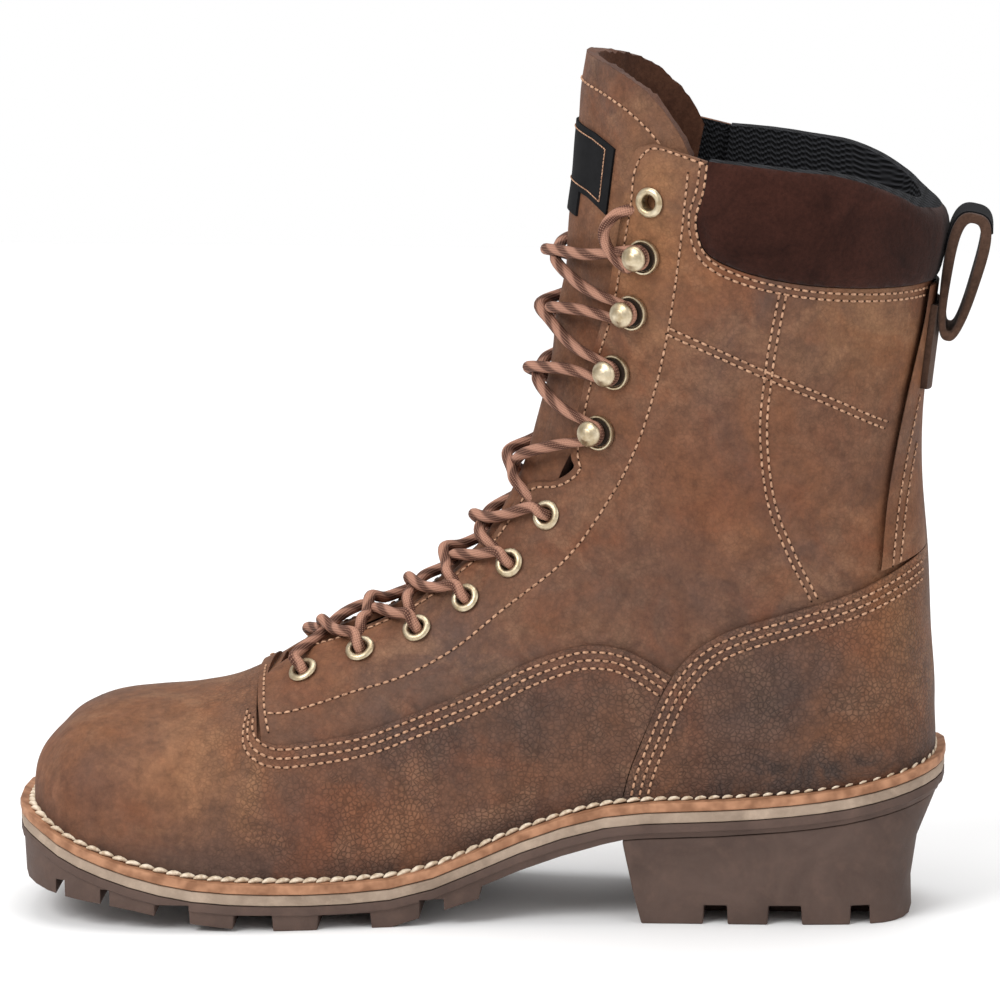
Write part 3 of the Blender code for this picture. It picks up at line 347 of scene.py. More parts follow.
# Turned profiles as shares of radius and rise. The dome's rises are millimetres from the hook's height.
FLANGE = [(1, 0.2), (0.94, 0.62), (0.82, 0.95), (0.7, 1)]
FLANGE_END = [(1.14, 0.8), (1, 0.35)]
DISH = [(1, -0.5), (0.96, 0.15), (0.88, 0.2), (0.82, -0.3), (0.76, -0.4)]
DOME = [(0.8, -2.2), (1, -1.5), (0.97, -0.7), (0.84, -0.1), (0.6, 0.25), (0.54, 0.6), (0.4, 0.95)]
NECK_TOP = 2.4 * MM
DOME_TOP = 1.15 * MM
AXIS_HOLE = 0.1 * MM
HOLLOW_HOLE = 0.2 * MM

# Tongue's top and the cloth on it, in shares up the tongue and across its half width
TONGUE_TOP_SQUARE = 4.5
TONGUE_FORWARD = 4.5 * MM
TONGUE_TURN = 0.8
TONGUE_ROW = 0.957
LABEL_LOW = 0.791
LABEL_HIGH = 0.893
LABEL_HALF = 0.56
SMALL_LOW = 0.752
SMALL_HALF = 0.24
PATCH_LIFT = 0.9 * MM
PATCH_SINK = 0.3 * MM
PATCH_STEPS = (25, 41)
LABEL_HEM = 0.01
LABEL_HEM_SIDE = 0.07
LABEL_PITCH = 1.3 * MM
LABEL_THREAD = 0.24 * MM
LABEL_BITE = 0.95
LABEL_POINTS = 40
TONGUE_ROW_HALF = 0.94
TONGUE_ROW_POINTS = 120
RAGGED = 0.12 * MM
RAGGED_BACK = 0.35 * MM

# Tail of the pull loop on the backstay, in sections of the form and half angle
TAIL_LOW = 21.4
TAIL_HIGH = 22.7
TAIL_HALF = 0.24
TAIL_THICK = 2.2 * MM
TAIL_LIFT = 0.1 * MM
STRAP_EASE = 0.6 * MM
LOOP_PATCH_TURN = (40, 165)
LOOP_PATCH_HALF = 0.8
LOOP_PATCH_INSETS = (-0.5 * MM, 0.4 * MM)

# Colours
LEATHER_MID = (0.156, 0.064, 0.030)
LEATHER_LIGHT = (0.215, 0.112, 0.064)
LEATHER_DARK = (0.085, 0.045, 0.032)
# Dark tone of the leather, also the colour of the painted shade above the welt
LEATHER_DEEP = (0.052, 0.034, 0.028)
LEATHER_RED = (0.15, 0.05, 0.022)
LEATHER_TAN = (0.26, 0.125, 0.055)
SUEDE_DARK = (0.05, 0.02, 0.012)
SUEDE_LIGHT = (0.12, 0.052, 0.03)
COLLAR_DARK = (0.015, 0.005, 0.0034)
COLLAR_LIGHT = (0.04, 0.0135, 0.009)
STRAP_DARK = (0.035, 0.019, 0.013)
STRAP_LIGHT = (0.085, 0.047, 0.032)
THREAD_DARK = (0.25, 0.125, 0.07)
THREAD_LIGHT = (0.5, 0.29, 0.18)
ROPE_DARK = (0.45, 0.34, 0.23)
ROPE_LIGHT = (0.76, 0.65, 0.51)
WELT_DARK = (0.22, 0.1, 0.05)
WELT_LIGHT = (0.4, 0.2, 0.11)
MIDSOLE_DARK = (0.2, 0.145, 0.105)
MIDSOLE_LIGHT = (0.38, 0.29, 0.22)
RUBBER_DARK = (0.058, 0.035, 0.027)
RUBBER_LIGHT = (0.097, 0.061, 0.048)
LACE_PINK = (0.4, 0.205, 0.14)
LACE_DARK = (0.085, 0.034, 0.022)
LACE_FLECK = (0.4, 0.22, 0.15)
LACE_DEEP = (0.05, 0.018, 0.012)
CLOTH_BLACK = (0.009, 0.009, 0.01)
LINING_DARK = (0.0045, 0.0045, 0.005)
LINING_LIGHT = (0.032, 0.033, 0.037)
# Painted shade: colour of the dark disc in each hook's dish, under its domed head
HOLLOW_SHADE = (0.03, 0.02, 0.014)
# Painted shade in the stitch holes
HOLE_SHADE = (0.028, 0.015, 0.01)
BRASS_DARK = (0.4, 0.31, 0.19)
BRASS_LIGHT = (0.64, 0.55, 0.4)

# Noise of the paints
Noise = namedtuple("Noise", "scale detail roughness distortion")
CLOUD = Noise(15, 6, 0.62, 0.5)
PATCH = Noise(42, 7, 0.68, 0.8)
MOTTLE = Noise(170, 5, 0.65, 0.4)
FINE = Noise(520, 4, 0.7, 0)
REDDER = Noise(27, 5, 0.6, 1.2)
SUEDE_CLOUD = Noise(30, 5, 0.65, 0.8)
SUEDE_NAP = Noise(700, 5, 0.75, 0)
PLAIN_NOISE = Noise(300, 3, 0.55, 0)
BRASS_CLOUD = Noise(260, 4, 0.6, 0)
BRASS_FINE = Noise(1500, 3, 0.7, 0)
RUBBER_CLOUD = Noise(40, 5, 0.65, 0.5)
RUBBER_DUST = Noise(170, 5, 0.7, 0)
RUBBER_FINE = Noise(900, 4, 0.7, 0)
RUBBER_BROAD = Noise(90, 3, 0.6, 0)
THREAD_TWIST = 900
ROPE_TWIST = 500
WELT_GRAIN = 200

# Depth and strength of the relief that the paints draw
Relief = namedtuple("Relief", "depth strength")
PEBBLE_RELIEF = Relief(0.3 * MM, 0.7)
MOTTLE_RELIEF = Relief(0.5 * MM, 0.4)
FINE_RELIEF = Relief(0.15 * MM, 0.55)
NAP_RELIEF = Relief(0.4 * MM, 0.6)
SUEDE_RELIEF = Relief(1.2 * MM, 0.4)
KNIT_RELIEF = Relief(0.7 * MM, 0.8)
THREAD_RELIEF = Relief(0.3 * MM, 0.6)
BRASS_RELIEF = Relief(0.08 * MM, 0.4)
RUBBER_RELIEF = Relief(0.2 * MM, 0.45)
BROAD_RELIEF = Relief(0.5 * MM, 0.25)

# Grain of the leather, and painted shade along its edge just above the welt
PEBBLE_SCALE = 620
PEBBLE_END = 0.83
PEBBLE_FADE = 0.1
FEATHER_SHADE = 0.75
FEATHER_SHADE_REACH = 8 * MM

# Camera
VIEW_AZIMUTH = 4
VIEW_ELEVATION = 10.5
VIEW_DISTANCE = 2.5
VIEW_LENS = 264.7
VIEW_TARGET = (6.1 * MM, 0, 139 * MM)

# Studio lights
WORLD_LIGHT = 0.68
WORLD_SEEN = 1.0
FLOOR = 1.5
FLOOR_WHITE = (0.93, 0.93, 0.93)
LIGHT_AIM = (0, 0, 0.12)
Light = namedtuple("Light", "name x y z size power")
LIGHTS = table(
    Light,
    ("key", -1.6, -2.0, 2.2, 1.6, 74),
    ("fill", 2.2, -1.6, 1.2, 2.0, 18),
    ("top", 0.1, 0.3, 2.6, 1.6, 30),
)

# Stitched lines on the quarters, seen from the medial side
LACE_STAY = table(
    Spot,
    (0.724, 0.243), (0.699, 0.250), (0.632, 0.283), (0.579, 0.301), (0.525, 0.320), (0.472, 0.349),
    (0.407, 0.392), (0.365, 0.453), (0.322, 0.568), (0.296, 0.704), (0.281, 0.841), (0.271, 0.977),
)
SEAM_DOWN = table(
    Spot,
    (0.293, 0.734), (0.238, 0.699), (0.185, 0.660), (0.121, 0.610), (0.061, 0.547),
)
SEAM_BACK = table(
    Spot,
    (0.170, 0.787), (0.180, 0.712), (0.185, 0.660), (0.190, 0.575), (0.182, 0.466), (0.162, 0.386),
    (0.135, 0.304),
)

TAB_FRONT = table(
    Spot,
    (0.700, 0.340), (0.718, 0.329), (0.7265, 0.313), (0.729, 0.295), (0.727, 0.265), (0.725, 0.240),
    (0.7215, 0.222),
)

# Turns of the wing's three rows round the foot of the tab, which go on along the wing's edge
WING_TURNS = [
    table(
        Spot,
        (0.738, 0.236), (0.739, 0.226), (0.735, 0.211), (0.724, 0.201),
    ),
    table(
        Spot,
        (0.742, 0.240), (0.7435, 0.227), (0.7435, 0.212), (0.738, 0.198), (0.7245, 0.188),
    ),
    table(
        Spot,
        (0.745, 0.244), (0.7475, 0.228), (0.7485, 0.212), (0.747, 0.198), (0.7375, 0.184),
        (0.7235, 0.1755),
    ),
]

# Worn creases from spot to spot: width the share of the shaft height, depth the share of the wall, and
# side -1 medial, 1 lateral, 0 both
Crease = namedtuple("Crease", "along rise to_along to_rise width depth side")
CREASES = table(
    Crease,
    (0.62, 0.20, 0.53, 0.06, 0.030, -0.30, 0),
    (0.58, 0.22, 0.49, 0.10, 0.028, 0.22, 0),
    (0.55, 0.24, 0.45, 0.14, 0.030, -0.26, 0),
    (0.43, 0.40, 0.33, 0.33, 0.034, -0.35, 0),
    (0.40, 0.46, 0.24, 0.38, 0.036, 0.30, 0),
    (0.36, 0.52, 0.18, 0.43, 0.034, -0.35, 0),
    (0.30, 0.60, 0.10, 0.53, 0.045, 0.30, 0),
    (0.28, 0.66, 0.12, 0.60, 0.036, -0.22, -1),
    (0.26, 0.56, 0.10, 0.66, 0.040, -0.22, 1),
    (0.88, 0.20, 0.80, 0.23, 0.050, -0.15, 0),
)
CREASE_END = 0.15

# Clouds of tone on the leather: wide the share of the length, tall the share of the shaft height
Tone = namedtuple("Tone", "along rise wide tall dark red tan")
TONES = table(
    Tone,
    (0.873, 0.233, 0.110, 0.060, 0.2, 0, 0.15),
    (0.916, 0.081, 0.060, 0.050, 0.1, 0.4, 0),
    (0.819, 0.150, 0.060, 0.080, 0, 0.3, 0.25),
    (0.753, 0.150, 0.040, 0.080, 0, 0, 0.35),
    (0.525, 0.196, 0.110, 0.050, 0.5, 0, 0),
    (0.656, 0.100, 0.100, 0.060, 0, 0.4, 0),
    (0.406, 0.160, 0.080, 0.070, 0.65, 0, 0),
    (0.558, 0.275, 0.090, 0.030, 0.1, 0, 0.1),
    (0.167, 0.152, 0.100, 0.080, 0.6, 0, 0),
    (0.130, 0.040, 0.120, 0.040, 0.6, 0, 0),
    (0.232, 0.066, 0.060, 0.060, 0.3, 0.1, 0),
    (0.264, 0.502, 0.080, 0.130, 0.25, 0.3, 0),
    (0.341, 0.324, 0.070, 0.060, 0.4, 0, 0),
    (0.308, 0.939, 0.040, 0.100, 0, 0, 0.6),
    (0.319, 0.785, 0.040, 0.090, 0, 0, 0.4),
    (0.091, 0.709, 0.070, 0.080, 0, 0, 0.35),
    (0.113, 0.560, 0.070, 0.080, 0.25, 0.2, 0),
    (0.036, 0.212, 0.040, 0.090, 0, 0, 0.35),
)

# Soft dents and swells of the tongue: share up its length, across its half width, depth in millimetres
Dent = namedtuple("Dent", "share across tall wide depth")
TONGUE_DENTS = table(
    Dent,
    (0.90, 0.0, 0.05, 0.5, -0.5),
    (0.75, 0.1, 0.04, 0.4, 0.6),
    (0.66, -0.1, 0.03, 0.4, -0.6),
    (0.58, 0.1, 0.03, 0.4, 0.7),
    (0.50, 0.0, 0.03, 0.4, -0.5),
)


# The boot's form, on arrays


def curve(keys, values, query):
    """Smooth curve through values, flat past its ends."""
    keys = np.asarray(keys, float)
    values = np.asarray(values, float)
    last = len(keys) - 1
    query = np.clip(query, keys[0], keys[-1])
    i = np.clip(np.searchsorted(keys, query, side="right") - 1, 0, last - 1)
    before = np.maximum(np.arange(last + 1) - 1, 0)
    after = np.minimum(np.arange(last + 1) + 1, last)
    slopes = (values[after] - values[before]) / (keys[after] - keys[before])
    span = keys[i + 1] - keys[i]
    s = (query - keys[i]) / span
    start = (2 * s**3 - 3 * s**2 + 1) * values[i] + (s**3 - 2 * s**2 + s) * span * slopes[i]
    return start + (3 * s**2 - 2 * s**3) * values[i + 1] + (s**3 - s**2) * span * slopes[i + 1]


def station_x(along):
    return HEEL_END - along * LENGTH


def along_of(x):
    return (HEEL_END - x) / LENGTH


def welt_z(x):
    """Height of the welt's top at x."""
    heights = [BALL_HEIGHT + row.heel * HEEL_LIFT + row.toe * TOE_SPRING for row in WELT_LINE]
    return curve([row.along for row in WELT_LINE], heights, along_of(x))


def column(t, name):
    return curve(range(len(SECTIONS)), [getattr(row, name) for row in SECTIONS], t)


def ends(t):
    """Rear and front of the sections at t, as x, z, x, z."""
    rear_x = station_x(column(t, "rear"))
    front_x = station_x(column(t, "front"))
    rear_z = welt_z(rear_x) + column(t, "rear_rise") * SHAFT_HEIGHT
    front_z = welt_z(front_x) + column(t, "front_rise") * SHAFT_HEIGHT
    return rear_x, rear_z, front_x, front_z


def surface(t, angle):
    """Points of the form: a quarter turn down is each section's rear, up its front."""
    t, angle = np.broadcast_arrays(np.asarray(t, float), np.asarray(angle, float))
    rear_x, rear_z, front_x, front_z = ends(t)
    widest = column(t, "widest")
    up = np.sin(angle)
    out = np.cos(angle)
    side = np.where(out > 0, -1, 1)
    power = np.where(up > 0, column(t, "high"), column(t, "low"))
    reach = np.abs(up) ** (2 / power)
    share = np.where(up > 0, widest + (1 - widest) * reach, widest * (1 - reach))
    width = np.where(side < 0, column(t, "medial"), column(t, "lateral")) * BALL_WIDTH
    y = column(t, "sway") * BALL_WIDTH + side * width * np.abs(out) ** (2 / power)
    return np.stack([rear_x + (front_x - rear_x) * share, y, rear_z + (front_z - rear_z) * share], -1)


def unit(vectors):
    return vectors / np.maximum(np.linalg.norm(vectors, axis=-1, keepdims=True), 1e-12)


def normals(t, angle):
    """Outward normals of the form."""
    t = np.asarray(t, float)
    low = np.maximum(t - NORMAL_STEP, 0)
    high = np.minimum(t + NORMAL_STEP, len(SECTIONS) - 1)
    down = surface(high, angle) - surface(low, angle)
    return unit(np.cross(down, surface(t, angle + NORMAL_STEP) - surface(t, angle - NORMAL_STEP)))


def lifted(t, angle, offset):
    return surface(t, angle) + normals(t, angle) * np.asarray(offset)[..., None]


def share_at(t, x, z):
    rear_x, rear_z, front_x, front_z = ends(t)
    span_x = front_x - rear_x
    span_z = front_z - rear_z
    share = ((x - rear_x) * span_x + (z - rear_z) * span_z) / (span_x**2 + span_z**2)
    return share, (x - rear_x) * span_z - (z - rear_z) * span_x


def locate(x, z, side):
    """Section, angle and share of the surface points seen at x, z from one side."""
    x, z = np.broadcast_arrays(np.asarray(x, float), np.asarray(z, float))
    low = np.zeros(x.shape)
    high = np.full(x.shape, len(SECTIONS) - 1.0)
    for _ in range(36):
        middle = (low + high) / 2
        ahead = share_at(middle, x, z)[1] > 0
        low = np.where(ahead, middle, low)
        high = np.where(ahead, high, middle)
    raw = share_at(low, x, z)[0]
    share = np.clip(raw, 0, 1)
    widest = column(low, "widest")
    above = np.maximum((share - widest) / (1 - widest), 0) ** (column(low, "high") / 2)
    below = np.maximum((widest - share) / widest, 0) ** (column(low, "low") / 2)
    angle = np.where(share > widest, np.arcsin(above), -np.arcsin(below))
    return low, angle if side < 0 else math.pi - angle, raw


def place(spots):
    """Side-view x, z of a row of spots."""
    x = station_x(np.array([spot.along for spot in spots]))
    return np.stack([x, welt_z(x) + np.array([spot.rise for spot in spots]) * SHAFT_HEIGHT], -1)


def tab_rise(t, angle):
    """Step in the wall where the facings' front tab lies on the vamp."""
    fade = 1 - np.clip((t - TAB_KEY) / TAB_FADE, 0, 1)
    round_it = np.clip((np.sin(angle) - TAB_LOW) / TAB_BLEND, 0, 1)
    return np.where(t < TAB_KEY, 0, TAB_STEP * fade * round_it)


def crease_depth(points):
    """Soft troughs and ridges of the worn leather at points in the boot's own frame."""
    depth = np.zeros(points.shape[:-1])
    for row in CREASES:
        a, b = place([Spot(row.along, row.rise), Spot(row.to_along, row.to_rise)])
        flat = points[..., [0, 2]] - a
        span = b - a
        share = np.clip((flat @ span) / (span @ span), 0, 1)
        away = np.linalg.norm(flat - share[..., None] * span, axis=-1)
        fade = np.sin(np.pi * (CREASE_END + (1 - 2 * CREASE_END) * share))
        near = np.exp(-((away / (row.width * SHAFT_HEIGHT)) ** 2)) * fade
        same = (points[..., 1] * row.side > 0) | (row.side == 0)
        depth += np.where(same, near, 0) * row.depth * WALL
    return depth


# Mesh helpers


def smooth(mesh, angle=PANEL_ANGLE):
    mesh.polygons.foreach_set("use_smooth", [True] * len(mesh.polygons))
    mesh.set_sharp_from_angle(angle=math.radians(angle))


def new_object(name, verts, faces):
    mesh = bpy.data.meshes.new(name)
    mesh.from_pydata(np.asarray(verts, float).reshape(-1, 3).tolist(), [], faces)
    obj = bpy.data.objects.new(name, mesh)
    bpy.context.scene.collection.objects.link(obj)
    return obj


def turned(obj):
    """Makes the faces look outward."""
    bm = bmesh.new()
    bm.from_mesh(obj.data)
    bmesh.ops.recalc_face_normals(bm, faces=bm.faces)
    bm.to_mesh(obj.data)
    bm.free()
    return obj


def settle(obj):
    """Applies the modifiers."""
    graph = bpy.context.evaluated_depsgraph_get()
    mesh = bpy.data.meshes.new_from_object(obj.evaluated_get(graph))
    obj.modifiers.clear()
    obj.data = mesh
    mesh.name = obj.name
    return obj


def combine(target, tool, operation):
    modifier = target.modifiers.new("cut", "BOOLEAN")
    modifier.operation = operation
    modifier.object = tool
    modifier.solver = "MANIFOLD"
    modifier.material_mode = "TRANSFER"
    settle(target)
    bpy.data.objects.remove(tool)
    return target


def circle(count):
    return 2 * math.pi * np.arange(count) / count


def bands(rows, count, closed=False):
    """Quads between rings of count points, and from the last ring to the first if closed."""
    index = np.arange(rows * count).reshape(rows, count)
    if closed:
        index = np.concatenate([index, index[:1]])
    near = np.roll(index, -1, 1)
    return np.stack([index[:-1], near[:-1], near[1:], index[1:]], -1).reshape(-1, 4).tolist()


def prism(name, outline, half=BALL_WIDTH, shear=0.0):
    """Solid swept along Y from a side-view outline of x, z."""
    count = len(outline)
    verts = [(x + shear * y, y, z) for y in (-half, half) for x, z in outline]
    caps = [list(range(count)), list(range(count, 2 * count))]
    return turned(new_object(name, verts, caps + bands(2, count)))


def rings_solid(name, rings):
    """Closed solid through an array of rings, with a fan at each end."""
    rows, count = rings.shape[:2]
    verts = list(rings.reshape(-1, 3))
    faces = bands(rows, count)
    for row in (0, rows - 1):
        verts.append(rings[row].mean(0))
        first = row * count
        faces += [[first + k, first + (k + 1) % count, len(verts) - 1] for k in range(count)]
    return turned(new_object(name, verts, faces))


def form(name, offset, per_key=KEY_STEPS, around=AROUND_FINE, relief=None, stepped=False):
    """Closed body of the boot's form, offset outward."""
    last = len(SECTIONS) - 1
    t = np.linspace(0, last, last * per_key + 1)
    if stepped:
        t = np.sort(np.append(t, [TAB_KEY - TAB_STEEPNESS, TAB_KEY + TAB_STEEPNESS / 4]))
    t = t[:, None]
    angle = (circle(around) - math.pi / 2)[None, :]
    out = offset + (tab_rise(t, angle) if stepped else 0)
    if relief is not None:
        out = out + relief(surface(t, angle))
    out = np.broadcast_to(out, (t.shape[0], around))
    return rings_solid(name, lifted(t, angle, out))


def shell(name, inner, outer, paint, inside, relief=None, stepped=False):
    """Wall between two forms, with its own material on the inner face."""
    core = form("core", inner, CORE_KEY_STEPS, CORE_AROUND)
    core.data.materials.append(inside)
    body = form(name, outer, relief=relief, stepped=stepped)
    body.data.materials.append(paint)
    return combine(body, core, "DIFFERENCE")


def rounded(spots, steps=EDGE_STEPS):
    """Side-view line smoothed through spots."""
    points = place(spots)
    keys = np.arange(len(points))
    fine = np.linspace(0, len(points) - 1, (len(points) - 1) * steps + 1)
    return np.stack([curve(keys, points[:, k], fine) for k in range(2)], -1)


def height_on(spots, x):
    """Height at x of the side-view line through spots."""
    points = place(spots)
    return curve(points[:, 0], points[:, 1], x)


# Footprint


def footprint():
    """Outline of the form at the welt line, toe to heel along the medial side and back."""

    def meets(low, high, falling):
        for _ in range(50):
            middle = (low + high) / 2
            rear_x, rear_z, _, _ = ends(middle)
            if (rear_z > welt_z(rear_x)) == falling:
                low = middle
            else:
                high = middle
        return (low + high) / 2

    start = meets(0.0, TOE_SPAN, True)
    end = meets(*HEEL_SPAN, False)
    share = 0.5 - 0.5 * np.cos(np.pi * np.arange(OUTLINE_STEPS + 1) / OUTLINE_STEPS)
    t = start + (end - start) * share
    rear_x, rear_z, front_x, front_z = ends(t)
    low = np.zeros(t.shape)
    widest = column(t, "widest")
    high = widest.copy()
    for _ in range(40):
        middle = (low + high) / 2
        x = rear_x + (front_x - rear_x) * middle
        under = rear_z + (front_z - rear_z) * middle < welt_z(x)
        low = np.where(under, middle, low)
        high = np.where(under, high, middle)
    x = rear_x + (front_x - rear_x) * low
    power = column(t, "low")
    reach = (1 - np.clip((widest - low) / widest, 0, 1) ** power) ** (1 / power)
    sway = column(t, "sway") * BALL_WIDTH
    medial = np.stack([x, sway - column(t, "medial") * BALL_WIDTH * reach], -1)
    lateral = np.stack([x, sway + column(t, "lateral") * BALL_WIDTH * reach], -1)
    return np.concatenate([medial, lateral[-2:0:-1]])


def grown(distance):
    """The footprint moved out by distance, less toward the heel, as one closed loop."""
    loop = footprint()
    along = np.roll(loop, -1, 0) - np.roll(loop, 1, 0)
    out = unit(np.stack([along[:, 1], -along[:, 0]], -1))
    trim = HEEL_TRIM * np.clip(loop[:, 0] / HEEL_END, 0, 1)
    return loop + out * (distance - trim)[:, None]


def spaced(loop, pitch, closed=True):
    """Points of a polyline at equal distances, about pitch apart."""
    loop = np.asarray(loop, float)
    if closed:
        loop = np.concatenate([loop, loop[:1]])
    steps = np.linalg.norm(np.diff(loop, axis=0), axis=1)
    travel = np.concatenate([[0], np.cumsum(steps)])
    count = max(int(round(travel[-1] / pitch)), 2)
    at = np.linspace(0, travel[-1], count + 1)
    if closed:
        at = at[:-1]
    return np.stack([np.interp(at, travel, loop[:, k]) for k in range(loop.shape[1])], -1)


# Materials


class Paint:
    """A node material built step by step."""

    def __init__(self, name, roughness=0.6, metallic=0.0, specular=0.4):
        self.material = bpy.data.materials.new(name)
        self.material.use_nodes = True
        self.tree = self.material.node_tree
        self.shader = self.tree.nodes["Principled BSDF"]
        self.give(self.shader, Roughness=roughness, Metallic=metallic, Specular_IOR_Level=specular)
        self.place = self.node("ShaderNodeTexCoord").outputs["Object"]
        self.normal = None

    def give(self, node, **values):
        for name, value in values.items():
            node.inputs[name.replace("_", " ")].default_value = value

    def node(self, kind, **values):
        made = self.tree.nodes.new(kind)
        for name, value in values.items():
            setattr(made, name, value)
        return made

    def link(self, source, target):
        self.tree.links.new(source, target)

    def noise(self, scale, detail, roughness, distortion):
        made = self.node("ShaderNodeTexNoise")
        self.give(made, Scale=scale, Detail=detail, Roughness=roughness, Distortion=distortion)
        self.link(self.place, made.inputs["Vector"])
        return made.outputs["Fac"]

    def cells(self, scale):
        """Distance to the nearest edge between cells."""
        made = self.node("ShaderNodeTexVoronoi", feature="DISTANCE_TO_EDGE")
        self.give(made, Scale=scale)
        self.link(self.place, made.inputs["Vector"])
        return made.outputs["Distance"]

    def ramp(self, source, low, high, start=0.0, end=1.0):
        """Value of source between low and high, brought to start and end."""
        made = self.node("ShaderNodeMapRange")
        self.give(made, From_Min=low, From_Max=high, To_Min=start, To_Max=end)
        self.link(source, made.inputs["Value"])
        return made.outputs["Result"]

    def math(self, operation, a, b):
        made = self.node("ShaderNodeMath", operation=operation)
        for socket, value in zip(made.inputs, (a, b)):
            if isinstance(value, (int, float)):
                socket.default_value = value
            else:
                self.link(value, socket)
        return made.outputs[0]

    def mix(self, factor, a, b, blend="MIX"):
        made = self.node("ShaderNodeMix", data_type="RGBA", blend_type=blend)
        for socket, value in ((made.inputs[0], factor), (made.inputs[6], a), (made.inputs[7], b)):
            if isinstance(value, tuple):
                socket.default_value = (*value, 1)
            elif isinstance(value, (int, float)):
                socket.default_value = value
            else:
                self.link(value, socket)
        return made.outputs[2]

    def attribute(self, name):
        """Red, green, blue and alpha of a colour attribute of the mesh."""
        made = self.node("ShaderNodeAttribute", attribute_name=name)
        split = self.node("ShaderNodeSeparateColor")
        self.link(made.outputs["Color"], split.inputs[0])
        return list(split.outputs) + [made.outputs["Alpha"]]

    def grey(self, value):
        """Colour with the same value in all three channels."""
        made = self.node("ShaderNodeCombineColor")
        for socket in made.inputs[:3]:
            self.link(value, socket)
        return made.outputs[0]

    def shade(self, colour, source, low, high, dark, light, weight=1.0):
        """A colour made darker or lighter with source."""
        grey = self.grey(self.ramp(source, low, high, dark, light))
        return self.mix(weight, colour, grey, "MULTIPLY")

    def wave(self, value):
        return self.math("SINE", value, 0.0)

    def times(self, a, b):
        return self.math("MULTIPLY", a, b)

    def colour(self, source):
        self.link(source, self.shader.inputs["Base Color"])

    def rough(self, source):
        self.link(source, self.shader.inputs["Roughness"])

    def bevel(self, radius):
        made = self.node("ShaderNodeBevel", samples=4)
        self.give(made, Radius=radius)
        self.normal = made.outputs["Normal"]
        self.link(self.normal, self.shader.inputs["Normal"])

    def bump(self, height, relief):
        made = self.node("ShaderNodeBump")
        self.give(made, Distance=relief.depth, Strength=relief.strength)
        self.link(height, made.inputs["Height"])
        if self.normal is not None:
            self.link(self.normal, made.inputs["Normal"])
        self.normal = made.outputs["Normal"]
        self.link(self.normal, self.shader.inputs["Normal"])


def leather_paint(name, grain=1.0):
    """Oiled brown leather: cloudy pull-up colour, painted tone, pebbled grain and fine nap."""
    paint = Paint(name, 0.7, specular=0.2)
    paint.bevel(EDGE_ROUND)
    tone = paint.attribute("tone")
    cloud, patch, mottle, fine, redder = (paint.noise(*n) for n in (CLOUD, PATCH, MOTTLE, FINE, REDDER))
    base = paint.mix(paint.ramp(cloud, 0.36, 0.62), LEATHER_DARK, LEATHER_MID)
    base = paint.mix(paint.ramp(patch, 0.5, 0.7, 0, 0.7), base, LEATHER_LIGHT)
    base = paint.mix(paint.ramp(redder, 0.5, 0.68, 0, 0.6), base, LEATHER_RED)
    spread = paint.ramp(patch, 0.34, 0.66, 0.35, 1.35)
    # The first weight darkens toward LEATHER_DEEP: dark tone of the leather, and painted shade above the
    # welt
    for weight, colour in zip(tone, (LEATHER_DEEP, LEATHER_RED, LEATHER_TAN)):
        base = paint.mix(paint.times(weight, spread), base, colour)
    base = paint.shade(base, mottle, 0.32, 0.68, 0.8, 1.22)
    base = paint.shade(base, fine, 0.3, 0.7, 0.84, 1.16)
    pebble = paint.ramp(paint.cells(PEBBLE_SCALE), 0.0, 0.2)
    worn = paint.times(tone[3], paint.ramp(patch, 0.38, 0.58, 0.4 * grain, grain))
    paint.colour(paint.shade(base, pebble, 0, 1, 0.62, 1.14, worn))
    paint.rough(paint.ramp(cloud, 0.3, 0.7, 0.58, 0.78))
    paint.bump(paint.times(pebble, worn), PEBBLE_RELIEF)
    paint.bump(mottle, MOTTLE_RELIEF)
    paint.bump(fine, FINE_RELIEF)
    return paint.material


def suede_paint(name, dark, light):
    paint = Paint(name, 0.95, specular=0.06)
    paint.bevel(EDGE_ROUND)
    paint.give(paint.shader, Sheen_Weight=0.08, Sheen_Roughness=0.5)
    cloud = paint.noise(*SUEDE_CLOUD)
    nap = paint.noise(*SUEDE_NAP)
    base = paint.mix(paint.ramp(cloud, 0.32, 0.68), dark, light)
    paint.colour(paint.shade(base, nap, 0.3, 0.7, 0.7, 1.3))
    paint.bump(nap, NAP_RELIEF)
    paint.bump(cloud, SUEDE_RELIEF)
    return paint.material


def lining_paint():
    """Dark knitted mesh: slanted links in zigzag rows."""
    paint = Paint("lining", 0.85, specular=0.1)
    paint.bevel(EDGE_ROUND)
    split = paint.node("ShaderNodeSeparateXYZ")
    paint.link(paint.place, split.inputs[0])
    flat = paint.math("ADD", split.outputs[0], split.outputs[1])
    run = paint.times(flat, 2 * math.pi / KNIT_WIDE)
    rise = paint.times(split.outputs[2], 2 * math.pi / KNIT_HIGH)
    zigzag = paint.times(paint.wave(paint.times(run, 0.5)), 1.7)
    rows = paint.wave(paint.math("ADD", rise, zigzag))
    links = paint.wave(paint.math("ADD", paint.times(run, 2.0), rise))
    weave = paint.ramp(paint.math("ADD", rows, paint.times(links, 0.6)), -0.9, 1.3)
    paint.colour(paint.mix(weave, LINING_DARK, LINING_LIGHT))
    paint.bump(weave, KNIT_RELIEF)
    return paint.material


def thread_paint(name, dark, light, scale=THREAD_TWIST):
    paint = Paint(name, 0.7, specular=0.3)
    twist = paint.noise(scale, 2, 0.5, 0)
    paint.colour(paint.mix(paint.ramp(twist, 0.35, 0.65), dark, light))
    paint.bump(twist, THREAD_RELIEF)
    return paint.material


def plain_paint(name, colour, roughness):
    paint = Paint(name, roughness, specular=0.12)
    factor = paint.ramp(paint.noise(*PLAIN_NOISE), 0.3, 0.7)
    paint.colour(paint.mix(factor, colour, tuple(c * 0.7 for c in colour)))
    return paint.material


